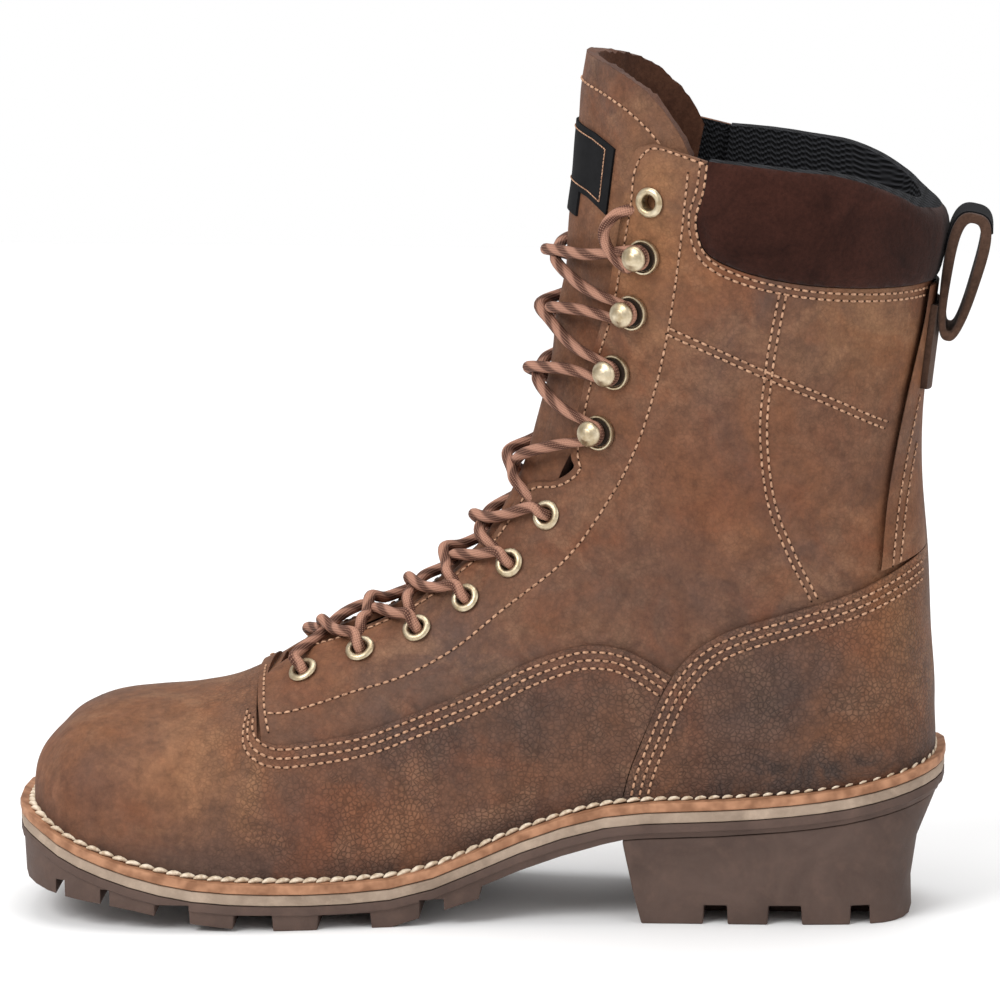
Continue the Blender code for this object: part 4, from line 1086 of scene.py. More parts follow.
def brass_paint():
    """Antique brass, cloudy and rubbed."""
    paint = Paint("antique_brass", 0.34, metallic=1.0)
    fine = paint.noise(*BRASS_FINE)
    paint.colour(paint.mix(paint.ramp(paint.noise(*BRASS_CLOUD), 0.35, 0.68), BRASS_DARK, BRASS_LIGHT))
    paint.rough(paint.ramp(fine, 0.3, 0.7, 0.32, 0.52))
    paint.bump(fine, BRASS_RELIEF)
    return paint.material


def rubber_paint(name, dark, light):
    """Dusty rubber, rubbed lighter here and there."""
    paint = Paint(name, 0.75, specular=0.3)
    paint.bevel(RUBBER_ROUND)
    cloud = paint.noise(*RUBBER_CLOUD)
    dust = paint.noise(*RUBBER_DUST)
    base = paint.mix(paint.ramp(cloud, 0.3, 0.7), dark, light)
    dusty = tuple(min(c * 1.5, 1) for c in light)
    paint.colour(paint.mix(paint.ramp(dust, 0.5, 0.75, 0, 0.35), base, dusty))
    paint.rough(paint.ramp(dust, 0.3, 0.7, 0.62, 0.85))
    paint.bump(paint.noise(*RUBBER_FINE), RUBBER_RELIEF)
    paint.bump(paint.noise(*RUBBER_BROAD), BROAD_RELIEF)
    return paint.material


def lace_paint():
    """Round braid: smooth strands on top, flecked herringbone down the sides."""
    paint = Paint("lace", 0.75, specular=0.2)
    split = paint.node("ShaderNodeSeparateXYZ")
    paint.link(paint.node("ShaderNodeTexCoord").outputs["UV"], split.inputs[0])
    around, travel = (paint.times(split.outputs[k], 2 * math.pi) for k in (0, 1))
    turns = paint.times(around, 7.0)
    runs = paint.times(travel, 10.0)
    one = paint.wave(paint.math("ADD", turns, runs))
    two = paint.wave(paint.math("SUBTRACT", turns, runs))
    weave = paint.times(one, two)
    side = paint.ramp(paint.wave(paint.math("ADD", paint.times(around, 2.0), travel)), -0.5, 0.6)
    base = paint.mix(side, LACE_PINK, LACE_DARK)
    base = paint.mix(paint.times(paint.ramp(weave, 0.3, 0.8, 0, 0.7), side), base, LACE_FLECK)
    paint.colour(paint.mix(paint.ramp(weave, -0.9, -0.3, 0.45, 0), base, LACE_DEEP))
    paint.bump(weave, THREAD_RELIEF)
    return paint.material


# Seams


def evenly(points, out, pitch):
    """Points and normals of a run of stitches, pitch apart."""
    travel = np.concatenate([[0], np.cumsum(np.linalg.norm(np.diff(points, axis=0), axis=1))])
    at = np.linspace(0, travel[-1], max(int(round(travel[-1] / pitch)), 1) + 1)
    spots = np.stack([np.interp(at, travel, points[:, k]) for k in range(3)], -1)
    ways = unit(np.stack([np.interp(at, travel, out[:, k]) for k in range(3)], -1))
    return spots + ways * STITCH_LIFT, ways


def stitch_row(path, side, piece, pitch):
    """Runs of stitches along one side-view path, on a finished piece."""
    fine = spaced(path, SEAM_FINE, closed=False)
    t, angle, share = locate(fine[:, 0], fine[:, 1], side)
    out = normals(t, angle)
    points, met = snapped(surface(t, angle), out, piece)
    keep = np.nonzero(met & (share > SEAM_END) & (share < 1))[0]
    runs = np.split(keep, np.nonzero(np.diff(keep) > 1)[0] + 1)
    return [evenly(points[run], out[run], pitch) for run in runs if len(run) > SHORTEST_RUN]


def stitches(name, rows, radius, material, bite=0.72, height=0.35):
    """One piece with a small bowed stitch between each two points of each row."""
    verts = []
    faces = []
    shares = np.array([-1, -0.8, -0.35, 0.35, 0.8, 1.0])
    swell = np.array([0.35, 0.8, 1, 1, 0.8, 0.35])
    sides = THREAD_SIDES
    turns = circle(sides)[:, None, None]
    last = (len(shares) - 1) * sides
    quads = bands(len(shares), sides) + [list(range(sides)), list(range(last, last + sides))[::-1]]
    for points, out in rows:
        a, b = points[:-1], points[1:]
        half = (b - a) / 2 * bite
        up = unit(out[:-1] + out[1:])
        across = unit(np.cross(half, up))
        rise = radius * (height + 0.75 * (1 - shares**4) - 0.6)
        centre = (a + b)[:, None] / 2 + half[:, None] * shares[None, :, None]
        centre = centre + up[:, None] * rise[None, :, None]
        ring = (np.cos(turns) * across + THREAD_FLAT * np.sin(turns) * up).transpose(1, 0, 2)
        body = centre[:, :, None] + ring[:, None] * (radius * swell)[None, :, None, None]
        for one in body:
            faces += [[len(verts) + k for k in quad] for quad in quads]
            verts += list(one.reshape(-1, 3))
    finish(turned(new_object(name, verts, faces)), material, SOFT_ANGLE, "leather")


def pinholes(name, rows, radius, material):
    """Small dark discs of painted shade where the thread goes into its holes."""
    verts = []
    faces = []
    turns = circle(PINHOLE_SIDES)[:, None]
    for points, out in rows:
        ahead = np.gradient(points, axis=0)
        across = unit(np.cross(ahead, out))
        for p, n, u, v in zip(points, out, unit(ahead), across):
            faces.append(list(range(len(verts), len(verts) + PINHOLE_SIDES)))
            verts += list(p + n * HOLE_LIFT + (u * np.cos(turns) + v * np.sin(turns)) * radius)
    obj = new_object(name, verts, faces)
    obj.data.materials.append(material)
    ride(obj, "leather")


def sew(word, rows, thread, dark):
    stitches(f"stitches_{word}", rows, THREAD, thread)
    pinholes(f"pinholes_{word}", rows, THREAD * HOLE_SHARE, dark)


def beside(path, distance):
    """Side-view path moved sideways."""
    path = np.asarray(path, float)
    ahead = unit(np.gradient(path, axis=0))
    return path + np.stack([-ahead[:, 1], ahead[:, 0]], -1) * distance


def attach(obj, slot, *nodes):
    """Puts a piece on the boot's one body."""
    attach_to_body(obj, "root")
    if nodes:
        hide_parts(*nodes)


def ride(obj, slot, *nodes):
    """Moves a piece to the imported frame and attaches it."""
    obj.data.transform(Matrix.Translation(SHIFT))
    attach(obj, slot, *nodes)


def finish(obj, paint, angle, slot, *nodes):
    """Paints, smooths and rides a piece."""
    obj.data.materials.append(paint)
    smooth(obj.data, angle)
    ride(obj, slot, *nodes)


def tone_of(points):
    """Dark, red and tan weights painted over the leather; the dark weight also holds painted shade just
    above the welt.
    """
    tone = np.zeros((len(points), 4))
    for row in TONES:
        x, z = place([Spot(row.along, row.rise)])[0]
        wide, tall = row.wide * LENGTH, row.tall * SHAFT_HEIGHT
        near = np.exp(-(((points[:, 0] - x) / wide) ** 2 + ((points[:, 2] - z) / tall) ** 2))
        for channel, weight in enumerate((row.dark, row.red, row.tan)):
            tone[:, channel] += near * weight
    above = points[:, 2] - welt_z(points[:, 0])
    # Painted shade where the upper meets the welt, darkest at the welt and fading upward
    tone[:, 0] += FEATHER_SHADE * np.exp(-((above / FEATHER_SHADE_REACH) ** 2))
    tone[:, 3] = (PEBBLE_END - along_of(points[:, 0])) / PEBBLE_FADE
    return np.clip(tone, 0, 1)


def dress(obj, angle=PANEL_ANGLE):
    """Smooth shading and painted tone of a leather piece, in the boot's own frame."""
    mesh = obj.data
    smooth(mesh, angle)
    co = np.empty(len(mesh.vertices) * 3)
    mesh.vertices.foreach_get("co", co)
    layer = mesh.color_attributes.new("tone", "FLOAT_COLOR", "POINT")
    layer.data.foreach_set("color", tone_of(co.reshape(-1, 3)).ravel())


# Leather, lining and collar


def below_welt():
    """Side-view outline of all that lies under the welt's top."""
    x = np.linspace(-HEEL_END - UNDER_MARGIN, HEEL_END + UNDER_MARGIN, UNDER_STEPS)
    top = list(zip(x, welt_z(x) + CLEARANCE))
    return top + [(x[-1], -SKY), (x[0], -SKY)]


def trim_sole(obj):
    combine(obj, prism("under", below_welt()), "DIFFERENCE")


TREES = {}


def tree_of(obj):
    """Search tree of a finished piece, in the boot's own frame."""
    bm = bmesh.new()
    bm.from_mesh(obj.data)
    tree = BVHTree.FromBMesh(bm)
    bm.free()
    return tree


def snapped(points, out, name):
    """Points brought down onto a finished piece, with a mark for those that met it."""
    found = points.copy()
    met = np.zeros(len(points), bool)
    for k, (point, way) in enumerate(zip(points, out)):
        start = Vector(point + way * SNAP_ABOVE)
        hit = TREES[name].ray_cast(start, Vector(-way), SNAP_REACH)[0]
        if hit is not None:
            found[k] = hit
            met[k] = True
    return found, met


def seat(spot, side):
    """Frame on the upper's face at a spot: origin, away from the throat, up the facing, outward."""
    x, z = place([spot])[0]
    t, angle, _ = locate(x, z, side)
    rise = tab_rise(t, angle)
    out = normals(t, angle)
    origin = surface(t, angle) + out * rise
    up = surface(t + SEAT_STEP, angle) - surface(t - SEAT_STEP, angle)
    up = unit(up - out * (up @ out))
    away = np.cross(up, out)
    if away[1] * side < 0:
        away = -away
    return origin, away, up, out


def lathe(profile, frame, segments, shift=0.0):
    """Verts and faces of a ring turned from a closed profile of radius, height."""
    origin, away, up, out = frame
    centre = origin + away * shift
    verts = []
    for turn in circle(segments):
        arm = away * math.cos(turn) + up * math.sin(turn)
        verts += [centre + arm * radius + out * height for radius, height in profile]
    return verts, bands(segments, len(profile), True)


def joined(name, parts):
    verts = []
    faces = []
    for more, quads in parts:
        faces += [[i + len(verts) for i in quad] for quad in quads]
        verts += list(more)
    return turned(new_object(name, verts, faces))


def hole(spot, side):
    """Cutter through the facing at a spot."""
    origin, away, up, out = seat(spot, side)
    turns = circle(HOLE_SIDES)[:, None]
    arm = np.cos(turns) * away + np.sin(turns) * up
    rings = [origin + arm * EYELET_HOLE + out * height for height in (-HOLE_DEEP, HOLE_HIGH)]
    return rings_solid("hole", np.array(rings))


def make_quarters(paint, inside):
    """Facings and quarters, with the facings' tab standing on the vamp."""
    upper = shell("quarters", -WALL, 0, paint, inside, crease_depth, True)
    trim_sole(upper)
    edge = list(map(tuple, rounded(FACING_LINE))) + list(map(tuple, rounded(COLLAR_LINE)))
    opening = edge + [(edge[-1][0], SKY), (edge[0][0], SKY)]
    combine(upper, prism("opening", opening, shear=SIDE_SHEAR), "DIFFERENCE")
    floor = [(x + SLOT_DEPTH, z - SLOT_DEPTH) for x, z in place(FACING_LINE[2:SLOT_SPOTS])]
    front = edge[0][0] + SLOT_FRONT
    slot = [(front, SKY), (front, place(FACING_LINE)[1][1] - 2 * SLOT_DEPTH)]
    slot += floor + [(floor[-1][0], SKY)]
    combine(upper, prism("slot", slot, SLOT_HALF), "DIFFERENCE")
    for side in (-1, 1):
        for spot in EYELETS + [TOP_EYELET]:
            combine(upper, hole(spot, side), "DIFFERENCE")
    dress(upper)
    TREES["quarters"] = tree_of(upper)
    ride(upper, "leather", "upper")


def make_overlay(name, outline, paint, node):
    """Panel laid over the quarters inside a side-view outline."""
    panel = shell(name, OVERLAY_GAP, OVERLAY_GAP + OVERLAY, paint, paint, crease_depth)
    combine(panel, prism("region", outline), "INTERSECT")
    trim_sole(panel)
    dress(panel)
    TREES[name] = tree_of(panel)
    ride(panel, "leather", node)


def tab_line():
    """Line up the front of the tab, just before its step."""
    rear_x, rear_z, front_x, front_z = ends(TAB_KEY - 2 * TAB_STEEPNESS)
    across, rise = front_x - rear_x, front_z - rear_z
    return [(rear_x + across * share, rear_z + rise * share) for share in (TAB_TOP, TAB_FOOT)]


def make_panels(smooth_paint, grained):
    front = tab_line() + list(map(tuple, rounded(WING_LINE)))
    front += [(x - CLEARANCE, z) for x, z in rounded(COUNTER_LINE[3::-1])]
    region = [(-LENGTH, SKY), (front[0][0], SKY)] + front + [(front[-1][0], -SKY), (-LENGTH, -SKY)]
    make_overlay("toe_and_wings", region, grained, "vamp")
    edge = list(map(tuple, rounded(COUNTER_LINE)))
    region = edge + [(edge[-1][0], -SKY), (edge[0][0], -SKY)]
    make_overlay("heel_counter", region, grained, "counter")
    edge = list(map(tuple, rounded(BACKSTAY_LINE)))
    foot = [spot for spot in COUNTER_LINE if spot.along < BACKSTAY_LINE[-1].along]
    low = [(x, z + CLEARANCE) for x, z in place(foot)]
    start = (edge[-1][0], low[0][1] - (low[0][0] - edge[-1][0]) * BACKSTAY_FOOT_SLOPE)
    region = edge[:-1] + [start] + low + [(low[-1][0], edge[0][1])]
    make_overlay("heel_stay", region, smooth_paint, "backstay")


def collar_swell(points):
    """Padding of the collar: full in the middle, drawn in along its edges."""
    x = points[..., 0]
    low = height_on(COLLAR_LINE[2:], x)
    high = height_on(RIM_LINE, x)
    share = np.clip((points[..., 2] - low) / np.maximum(high - low, 1 * MM), 0, 1)
    full = 4 * share * (1 - share)
    front = np.clip((x - place(COLLAR_LINE[2:3])[0][0]) / COLLAR_ROUND, 0, 1)
    wave = COLLAR_WAVE * np.sin(x / COLLAR_WAVE_LONG + 3 * share) * full
    return COLLAR_SWELL * (np.sqrt(np.clip(full, 0, 1)) * np.sqrt(front) + wave)


def make_collar(paint, inside):
    """Padded cuff in the notch of the shaft's top, with the lining turned over its rim."""
    collar = shell("collar_pad", -COLLAR_IN, 0, paint, inside, collar_swell)
    low, high = (rounded(spots) + CLEARANCE for spots in (COLLAR_LINE, RIM_LINE))
    outline = list(map(tuple, low)) + list(map(tuple, high))[:0:-1]
    combine(collar, prism("region", outline, shear=SIDE_SHEAR), "INTERSECT")
    knit = collar.data.materials.find(inside.name)
    for face in collar.data.polygons:
        if face.normal.z > RIM_UP:
            face.material_index = knit
    dress(collar, SOFT_ANGLE)
    ride(collar, "collar_leather", "collar")


def make_lining(paint):
    """Knitted lining against the inside of the shaft, open at throat and top."""
    outer = -WALL - LINING_GAP
    lining = shell("lining", outer - LINING_THICK, outer, paint, paint)
    trim_sole(lining)
    x0 = place(FACING_LINE)[SLOT_SPOTS][0] + LINING_BACK
    rim = rounded(RIM_LINE)
    region = [(x0, -SKY), (x0, rim[0][1] - 2 * LINING_LOW)] + [(x, z - LINING_LOW) for x, z in rim if x > x0]
    back, top = region[-1][0] + BALL_WIDTH, region[-1][1]
    combine(lining, prism("region", region + [(back, top), (back, -SKY)], shear=SIDE_SHEAR), "INTERSECT")
    smooth(lining.data)
    ride(lining, "lining")


def tongue_face(share, across, offset):
    """Points and normals at shares up the tongue and across its half width."""
    keys = [row.key for row in TONGUE]
    top = keys[-1] - TONGUE_TOP_DROP * np.abs(across) ** TONGUE_TOP_SQUARE
    t = keys[0] + (top - keys[0]) * share
    angle = math.pi / 2 + curve(keys, [row.half for row in TONGUE], t) * across
    bulge = TONGUE_BULGE * np.clip(1 - (np.abs(across) / TONGUE_BULGE_SPAN) ** 2, 0, 1)
    lift = bulge * np.clip((share - TONGUE_BULGE_START) / TONGUE_BULGE_RISE, 0, 1)
    forward = np.clip((share - TONGUE_TURN) / (1 - TONGUE_TURN), 0, 1) ** 1.5
    lift = lift + TONGUE_FORWARD * forward * (1 - across**2) + offset - WALL - TONGUE_GAP
    for row in TONGUE_DENTS:
        up = ((share - row.share) / row.tall) ** 2
        lift = lift + row.depth * MM * np.exp(-up - ((across - row.across) / row.wide) ** 2)
    t, angle, lift = np.broadcast_arrays(t, angle, lift)
    return lifted(t, angle, lift), normals(t, angle)


def sheet_solid(name, outer, inner):
    """Closed sheet between two grids of points, and the number of faces on its outer side."""
    rows, columns = outer.shape[:2]
    count = rows * columns
    index = np.arange(count).reshape(rows, columns)
    quads = np.stack([index[:-1, :-1], index[:-1, 1:], index[1:, 1:], index[1:, :-1]], -1).reshape(-1, 4)
    rim = list(index[0]) + list(index[1:, -1]) + list(index[-1, -2::-1]) + list(index[-2:0:-1, 0])
    faces = quads.tolist() + (quads[:, ::-1] + count).tolist()
    for k, a in enumerate(rim):
        b = rim[(k + 1) % len(rim)]
        faces.append([int(a), int(b), int(b) + count, int(a) + count])
    points = np.concatenate([outer.reshape(-1, 3), inner.reshape(-1, 3)])
    return turned(new_object(name, points, faces)), len(quads)


def make_tongue(paint, raw, thread, dark):
    """Leather tongue with a raw split back and edge, and a seam under its top."""
    rows, columns = TONGUE_STEPS
    share = np.linspace(0, 1, rows + 1)[:, None]
    across = np.linspace(-1, 1, columns + 1)[None, :]
    outer = tongue_face(share, across, 0)[0]
    inner = tongue_face(share, across, -TONGUE_THICKNESS)[0]
    rng = np.random.default_rng(4)
    ragged = rng.normal(0, RAGGED, columns + 1)
    outer[-1, :, 2] += ragged
    inner[-1, :, 2] += ragged + rng.normal(0, RAGGED_BACK, columns + 1)
    tongue, front = sheet_solid("tongue_leather", outer, inner)
    tongue.data.materials.append(paint)
    tongue.data.materials.append(raw)
    marks = np.ones(len(tongue.data.polygons), int)
    marks[:front] = 0
    tongue.data.polygons.foreach_set("material_index", marks)
    dress(tongue, SOFT_ANGLE)
    ride(tongue, "leather", "tongue")
    across = np.linspace(-TONGUE_ROW_HALF, TONGUE_ROW_HALF, TONGUE_ROW_POINTS)
    points, out = tongue_face(np.full(TONGUE_ROW_POINTS, TONGUE_ROW), across, 0)
    sew("tongue", [evenly(points, out, STITCH_PITCH)], thread, dark)


def tongue_patch(name, low, high, half, paint):
    """Thin cloth sewn on the tongue."""
    share = np.linspace(low, high, PATCH_STEPS[0])[:, None]
    across = np.linspace(-half, half, PATCH_STEPS[1])[None, :]
    outer, inner = (tongue_face(share, across, lift)[0] for lift in (PATCH_LIFT, -PATCH_SINK))
    finish(sheet_solid(name, outer, inner)[0], paint, METAL_ANGLE, "lining")


def make_label(paint, thread):
    """Blank cloth patch with a stitched border, and a small blank tab under it."""
    tongue_patch("small_tab", SMALL_LOW, LABEL_LOW, SMALL_HALF, paint)
    tongue_patch("blank_label", LABEL_LOW, LABEL_HIGH, LABEL_HALF, paint)
    low, high = LABEL_LOW + LABEL_HEM, LABEL_HIGH - LABEL_HEM
    half = LABEL_HALF - LABEL_HEM_SIDE
    edge = np.linspace(0, 1, LABEL_POINTS)
    up = np.concatenate([edge, edge * 0 + 1, 1 - edge, edge * 0])
    along = np.concatenate([edge * 0, edge, edge * 0 + 1, 1 - edge])
    points, out = tongue_face(low + (high - low) * up, half * (2 * along - 1), PATCH_LIFT)
    stitches("stitches_label", [evenly(points, out, LABEL_PITCH)], LABEL_THREAD, thread, LABEL_BITE)


# Lacing


def catmull(points, steps):
    """Smooth curve through points, with steps between each two."""
    points = np.asarray(points, float)
    keys = np.concatenate([[0], np.cumsum(np.sqrt(np.linalg.norm(np.diff(points, axis=0), axis=1)))])
    fine = [np.linspace(a, b, steps, endpoint=False) for a, b in zip(keys, keys[1:])]
    fine = np.concatenate(fine + [keys[-1:]])
    return np.stack([curve(keys, points[:, k], fine) for k in range(points.shape[1])], -1)


def thick(points, radius=LACE_THICK):
    """Points of a lace with its radius as a fourth column."""
    points = np.asarray(points, float)
    return np.concatenate([points, np.full((len(points), 1), radius)], 1)


def cord(path, sides=CORD_SIDES):
    """Verts, faces and UVs of a round tube that follows points with their radii."""
    points, radius = path[:, :3], path[:, 3]
    ahead = unit(np.gradient(points, axis=0))
    right = np.cross(ahead[0], (0, 0, 1.0))
    if np.linalg.norm(right) < 0.1:
        right = np.cross(ahead[0], (1.0, 0, 0))
    rights = []
    for way in ahead:
        right = unit(right - way * (right @ way))
        rights.append(right)
    rights = np.array(rights)
    ups = np.cross(rights, ahead)
    travel = np.concatenate([[0], np.cumsum(np.linalg.norm(np.diff(points, axis=0), axis=1))])
    turns = circle(sides)[:, None, None]
    ring = np.cos(turns) * rights + np.sin(turns) * ups
    verts = points[:, None] + ring.transpose(1, 0, 2) * radius[:, None, None]
    rows = len(points)
    uvs = []
    for v0, v1 in zip(travel / LACE_REPEAT, travel[1:] / LACE_REPEAT):
        for k in range(sides):
            uvs += [(k / sides, v0), ((k + 1) / sides, v0), ((k + 1) / sides, v1), (k / sides, v1)]
    caps = [[row * sides + k for k in range(sides)] for row in (0, rows - 1)]
    return verts.reshape(-1, 3), bands(rows, sides) + caps, uvs + [(0.5, 0)] * sides * 2


def lace_piece(name, paths, material, node):
    verts = []
    faces = []
    uvs = []
    for path in paths:
        more, quads, flat = cord(path)
        faces += [[i + len(verts) for i in quad] for quad in quads]
        verts += list(more)
        uvs += flat
    obj = new_object(name, verts, faces)
    layer = obj.data.uv_layers.new(name="braid")
    layer.data.foreach_set("uv", np.array(uvs, float).ravel())
    finish(turned(obj), material, LACE_ANGLE, "lace", node)


def over(low, high, side, shares, lifts, sag):
    """Points over the throat between two seats, at shares of the way across."""
    a = place([low])[0]
    b = place([high])[0]
    t0, angle0, _ = locate(a[0], a[1], side)
    t1, angle1, _ = locate(b[0], b[1], -side)
    shares = np.asarray(shares, float)
    t = t0 + (t1 - t0) * shares - sag * np.sin(np.pi * shares)
    angle = angle0 + (angle1 - angle0) * shares
    wide = np.abs(angle - math.pi / 2)
    outer = np.clip((wide - LACE_BETWEEN) / LACE_BETWEEN, 0, 1)
    lift = LACE_THICK + LACE_LIFT + tab_rise(t, angle) * outer - LACE_DIP * (1 - outer)
    return thick(lifted(t, angle, lift + np.asarray(lifts) * MM))


def in_frame(frame, rows):
    """Points given as millimetres away, up and out from a seat."""
    origin, away, up, out = frame
    return thick([origin + away * a * MM + up * u * MM + out * o * MM for a, u, o in rows])


def into_hole(frame):
    """Last points of a lace that goes down through an eyelet."""
    origin, away, _, out = frame
    reach = EYELET_RADIUS + LACE_THICK
    return thick([
        origin - away * reach * 0.62 + out * (LACE_THICK + SEAT_LIFT + EYELET_RISE + 0.6 * MM),
        origin - away * reach * 0.16 + out * (LACE_THICK + SEAT_LIFT),
        origin + away * 0.3 * MM - out * 0.6 * MM,
        origin + away * 0.5 * MM - out * (WALL + 2 * LACE_THICK),
    ])


def under_facing(frame):
    """First points of a lace that rises from under the facing."""
    origin, away, _, out = frame
    deep = WALL + LACE_THICK * 0.55
    return thick([origin - out * (deep + 1 * MM), origin - away * 4 * MM - out * deep])


def round_hook(frame, way):
    """Tight turn round a hook's neck: way 1 goes from its lower to its upper side."""
    origin, away, up, out = frame
    ring = HOOK_NECK + LACE_TIGHT
    level = origin + out * (SEAT_LIFT + HOOK_GAUGE + LACE_TIGHT) + away * HEAD_SHIFT
    turns = np.radians(np.linspace(-100, 100, 9)) * way
    points = [level + away * math.cos(turn) * ring + up * math.sin(turn) * ring for turn in turns]
    return thick(points, LACE_TIGHT)


# Free end from the top hook round to its tuck under the facing: away, up and out in millimetres
TUCK = [
    (-4.4, -4.4, 3.3), (-9.5, -2.2, 2.6), (-13.4, 2.7, 3.5), (-14.2, 7.2, 3.6), (-12.0, 12.0, 1.4),
    (-8.2, 14.2, -0.8), (-4.5, 15.2, -4.6),
]


def crossing(seats, levels, n, side):
    """Path of the lace from one side of a level to the other side of the next."""
    last_eyelet = len(EYELETS) - 1
    sag = LACE_SAG * min(1, (n + 1) / len(EYELETS))
    high = LACE_HIGH - LACE_CROSS * side * (1 if n % 2 else -1)

    def across(shares, lifts):
        return over(levels[n], levels[n + 1], side, shares, lifts, sag)

    if n == 0:
        first = into_hole(seats[(0, side)])[::-1]
    elif n <= last_eyelet:
        first = np.concatenate([under_facing(seats[(n, side)]), across([0.24], [-0.6])])
    else:
        first = np.concatenate([round_hook(seats[(n, side)], 1)[-1:], across([0.16], [0.3])])
    there = seats[(n + 1, -side)]
    if n < last_eyelet:
        last = into_hole(there)
    elif n + 2 < len(levels):
        last = round_hook(there, 1)
    else:
        last = np.concatenate([round_hook(there, -1), in_frame(there, TUCK[:1])])
    middle = across([0.36, 0.5, 0.64, 0.82], [0.4, high, 0.4, 0.3])
    return catmull(np.concatenate([first, middle, last]), LACE_STEPS)


def make_laces(paint):
    levels = EYELETS + HOOKS
    seats = {(n, side): seat(spot, side) for n, spot in enumerate(levels) for side in (-1, 1)}
    for n in range(len(levels) - 1):
        two = [crossing(seats, levels, n, side) for side in (-1, 1)]
        lace_piece(f"lacing_{n + 1}", two, paint, f"lace_cross_{n + 1}")
    tucks = [catmull(in_frame(seats[(len(levels) - 1, side)], TUCK), TUCK_STEPS) for side in (-1, 1)]
    lace_piece("lacing_top", tucks, paint, "lace_bar")


def profiles():
    """Closed profiles of an eyelet, a hook's dish, the dark disc of painted shade in it, and the hook's
    head.
    """
    flange = [(EYELET_BORE, -WALL), (EYELET_BARREL, -WALL), (EYELET_BARREL, SEAT_LIFT * 0.6)]
    flange += [(EYELET_RADIUS * 0.97, SEAT_LIFT * 0.6)]
    flange += [(EYELET_RADIUS * wide, SEAT_LIFT + EYELET_RISE * high) for wide, high in FLANGE]
    flange += [(EYELET_BORE * wide, SEAT_LIFT + EYELET_RISE * high) for wide, high in FLANGE_END]
    rim = SEAT_LIFT + HOOK_GAUGE
    dish = [(HOOK_BASE * 0.76, SEAT_LIFT * 0.3), (HOOK_BASE * 0.98, SEAT_LIFT * 0.3)]
    dish += [(HOOK_BASE * wide, rim + HOOK_GAUGE * high) for wide, high in DISH]
    low, high = SEAT_LIFT * 0.2, rim - HOOK_GAUGE * 0.5
    disc = [(HOLLOW_HOLE, low), (HOOK_BASE * 0.8, low), (HOOK_BASE * 0.8, high), (HOLLOW_HOLE, high)]
    top = SEAT_LIFT + HOOK_HEIGHT
    head = [(AXIS_HOLE, SEAT_LIFT), (HOOK_NECK, SEAT_LIFT), (HOOK_NECK, top - NECK_TOP)]
    head += [(HOOK_HEAD * wide, top + high * MM) for wide, high in DOME] + [(AXIS_HOLE, top + DOME_TOP)]
    return flange, dish, disc, head


def make_hardware(brass, dark):
    """Eyelets with rolled flanges, and hooks: a rimmed dish under a domed head, with a dark disc of painted
    shade in the dish.
    """
    flange, dish, disc, head = profiles()
    shade_discs = []
    for side, word in ((-1, "medial"), (1, "lateral")):
        for number, spot in enumerate(EYELETS + [TOP_EYELET], 1):
            ring = joined(f"ring_{word}_{number}", [lathe(flange, seat(spot, side), METAL_STEPS)])
            finish(ring, brass, METAL_ANGLE, "brass", f"eyelet_{word}_{number}")
        for number, spot in enumerate(HOOKS, 1):
            here = seat(spot, side)
            parts = [lathe(dish, here, METAL_STEPS), lathe(head, here, HOLLOW_STEPS, HEAD_SHIFT)]
            hook = joined(f"lace_hook_{word}_{number}", parts)
            finish(hook, brass, METAL_ANGLE, "brass", f"hook_{word}_{number}")
            # Dark disc in the dish: painted shade under the hook's head
            shade_discs.append(lathe(disc, here, HOLLOW_STEPS))
    finish(joined("hook_shade_discs", shade_discs), dark, METAL_ANGLE, "brass")


# Sole


def refined(name, node, bevel, paint, slot):
    """CAD node with its edges eased and its sides smoothed."""
    source = frame["nodes"][node]
    obj = bpy.data.objects.new(name, source.data.copy())
    bpy.context.scene.collection.objects.link(obj)
    bm = bmesh.new()
    bm.from_mesh(obj.data)
    bmesh.ops.remove_doubles(bm, verts=bm.verts, dist=WELD)
    bmesh.ops.dissolve_limit(bm, angle_limit=math.radians(FLAT_ANGLE), verts=bm.verts, edges=bm.edges)
    bm.to_mesh(obj.data)
    bm.free()
    if obj.data.attributes.get("custom_normal"):
        obj.data.attributes.remove(obj.data.attributes["custom_normal"])
    modifier = obj.modifiers.new("eased", "BEVEL")
    modifier.width = bevel
    modifier.segments = 3
    modifier.limit_method = "ANGLE"
    modifier.angle_limit = math.radians(EASE_ANGLE)
    settle(obj)
    smooth(obj.data, SOLE_ANGLE)
    obj.data.materials.clear()
    obj.data.materials.append(paint)
    attach(obj, slot, node)


def make_welt_stitch(paint):
    """Rope stitch along the welt: slanted lumps of waxed thread."""
    path = spaced(grown(WELT_STITCH_OUT), WELT_PITCH)
    z = welt_z(path[:, 0]) + WELT_STITCH_RISE
    points = np.concatenate([path, z[:, None]], 1)
    ahead = unit(np.roll(points, -1, 0) - np.roll(points, 1, 0))
    up = np.array([0, 0, 1.0])
    out = unit(np.cross(up, ahead))
    turns = circle(WELT_SIDES)[:, None]
    last = (WELT_RINGS - 1) * WELT_SIDES
    quads = bands(WELT_RINGS, WELT_SIDES)
    quads += [list(range(WELT_SIDES)), list(range(last, last + WELT_SIDES))]
    parts = []
    for p, a, o in zip(points, ahead, out):
        axis = unit(a + o * WELT_SLANT)
        side = unit(np.cross(up, axis))
        rings = []
        for s in np.linspace(-1, 1, WELT_RINGS):
            fat = WELT_THREAD * math.sqrt(max(1 - 0.9 * s * s, 0.05))
            centre = p + axis * s * WELT_PITCH * WELT_REACH
            centre = centre + up * (WELT_THREAD * 0.5 * (1 - s * s) - WELT_SINK)
            rings.append(centre + (np.cos(turns) * side + WELT_FLAT * np.sin(turns) * up) * fat)
        parts.append((np.concatenate(rings), quads))
    finish(joined("welt_stitch", parts), paint, SOFT_ANGLE, "welt")


# Seams of the upper


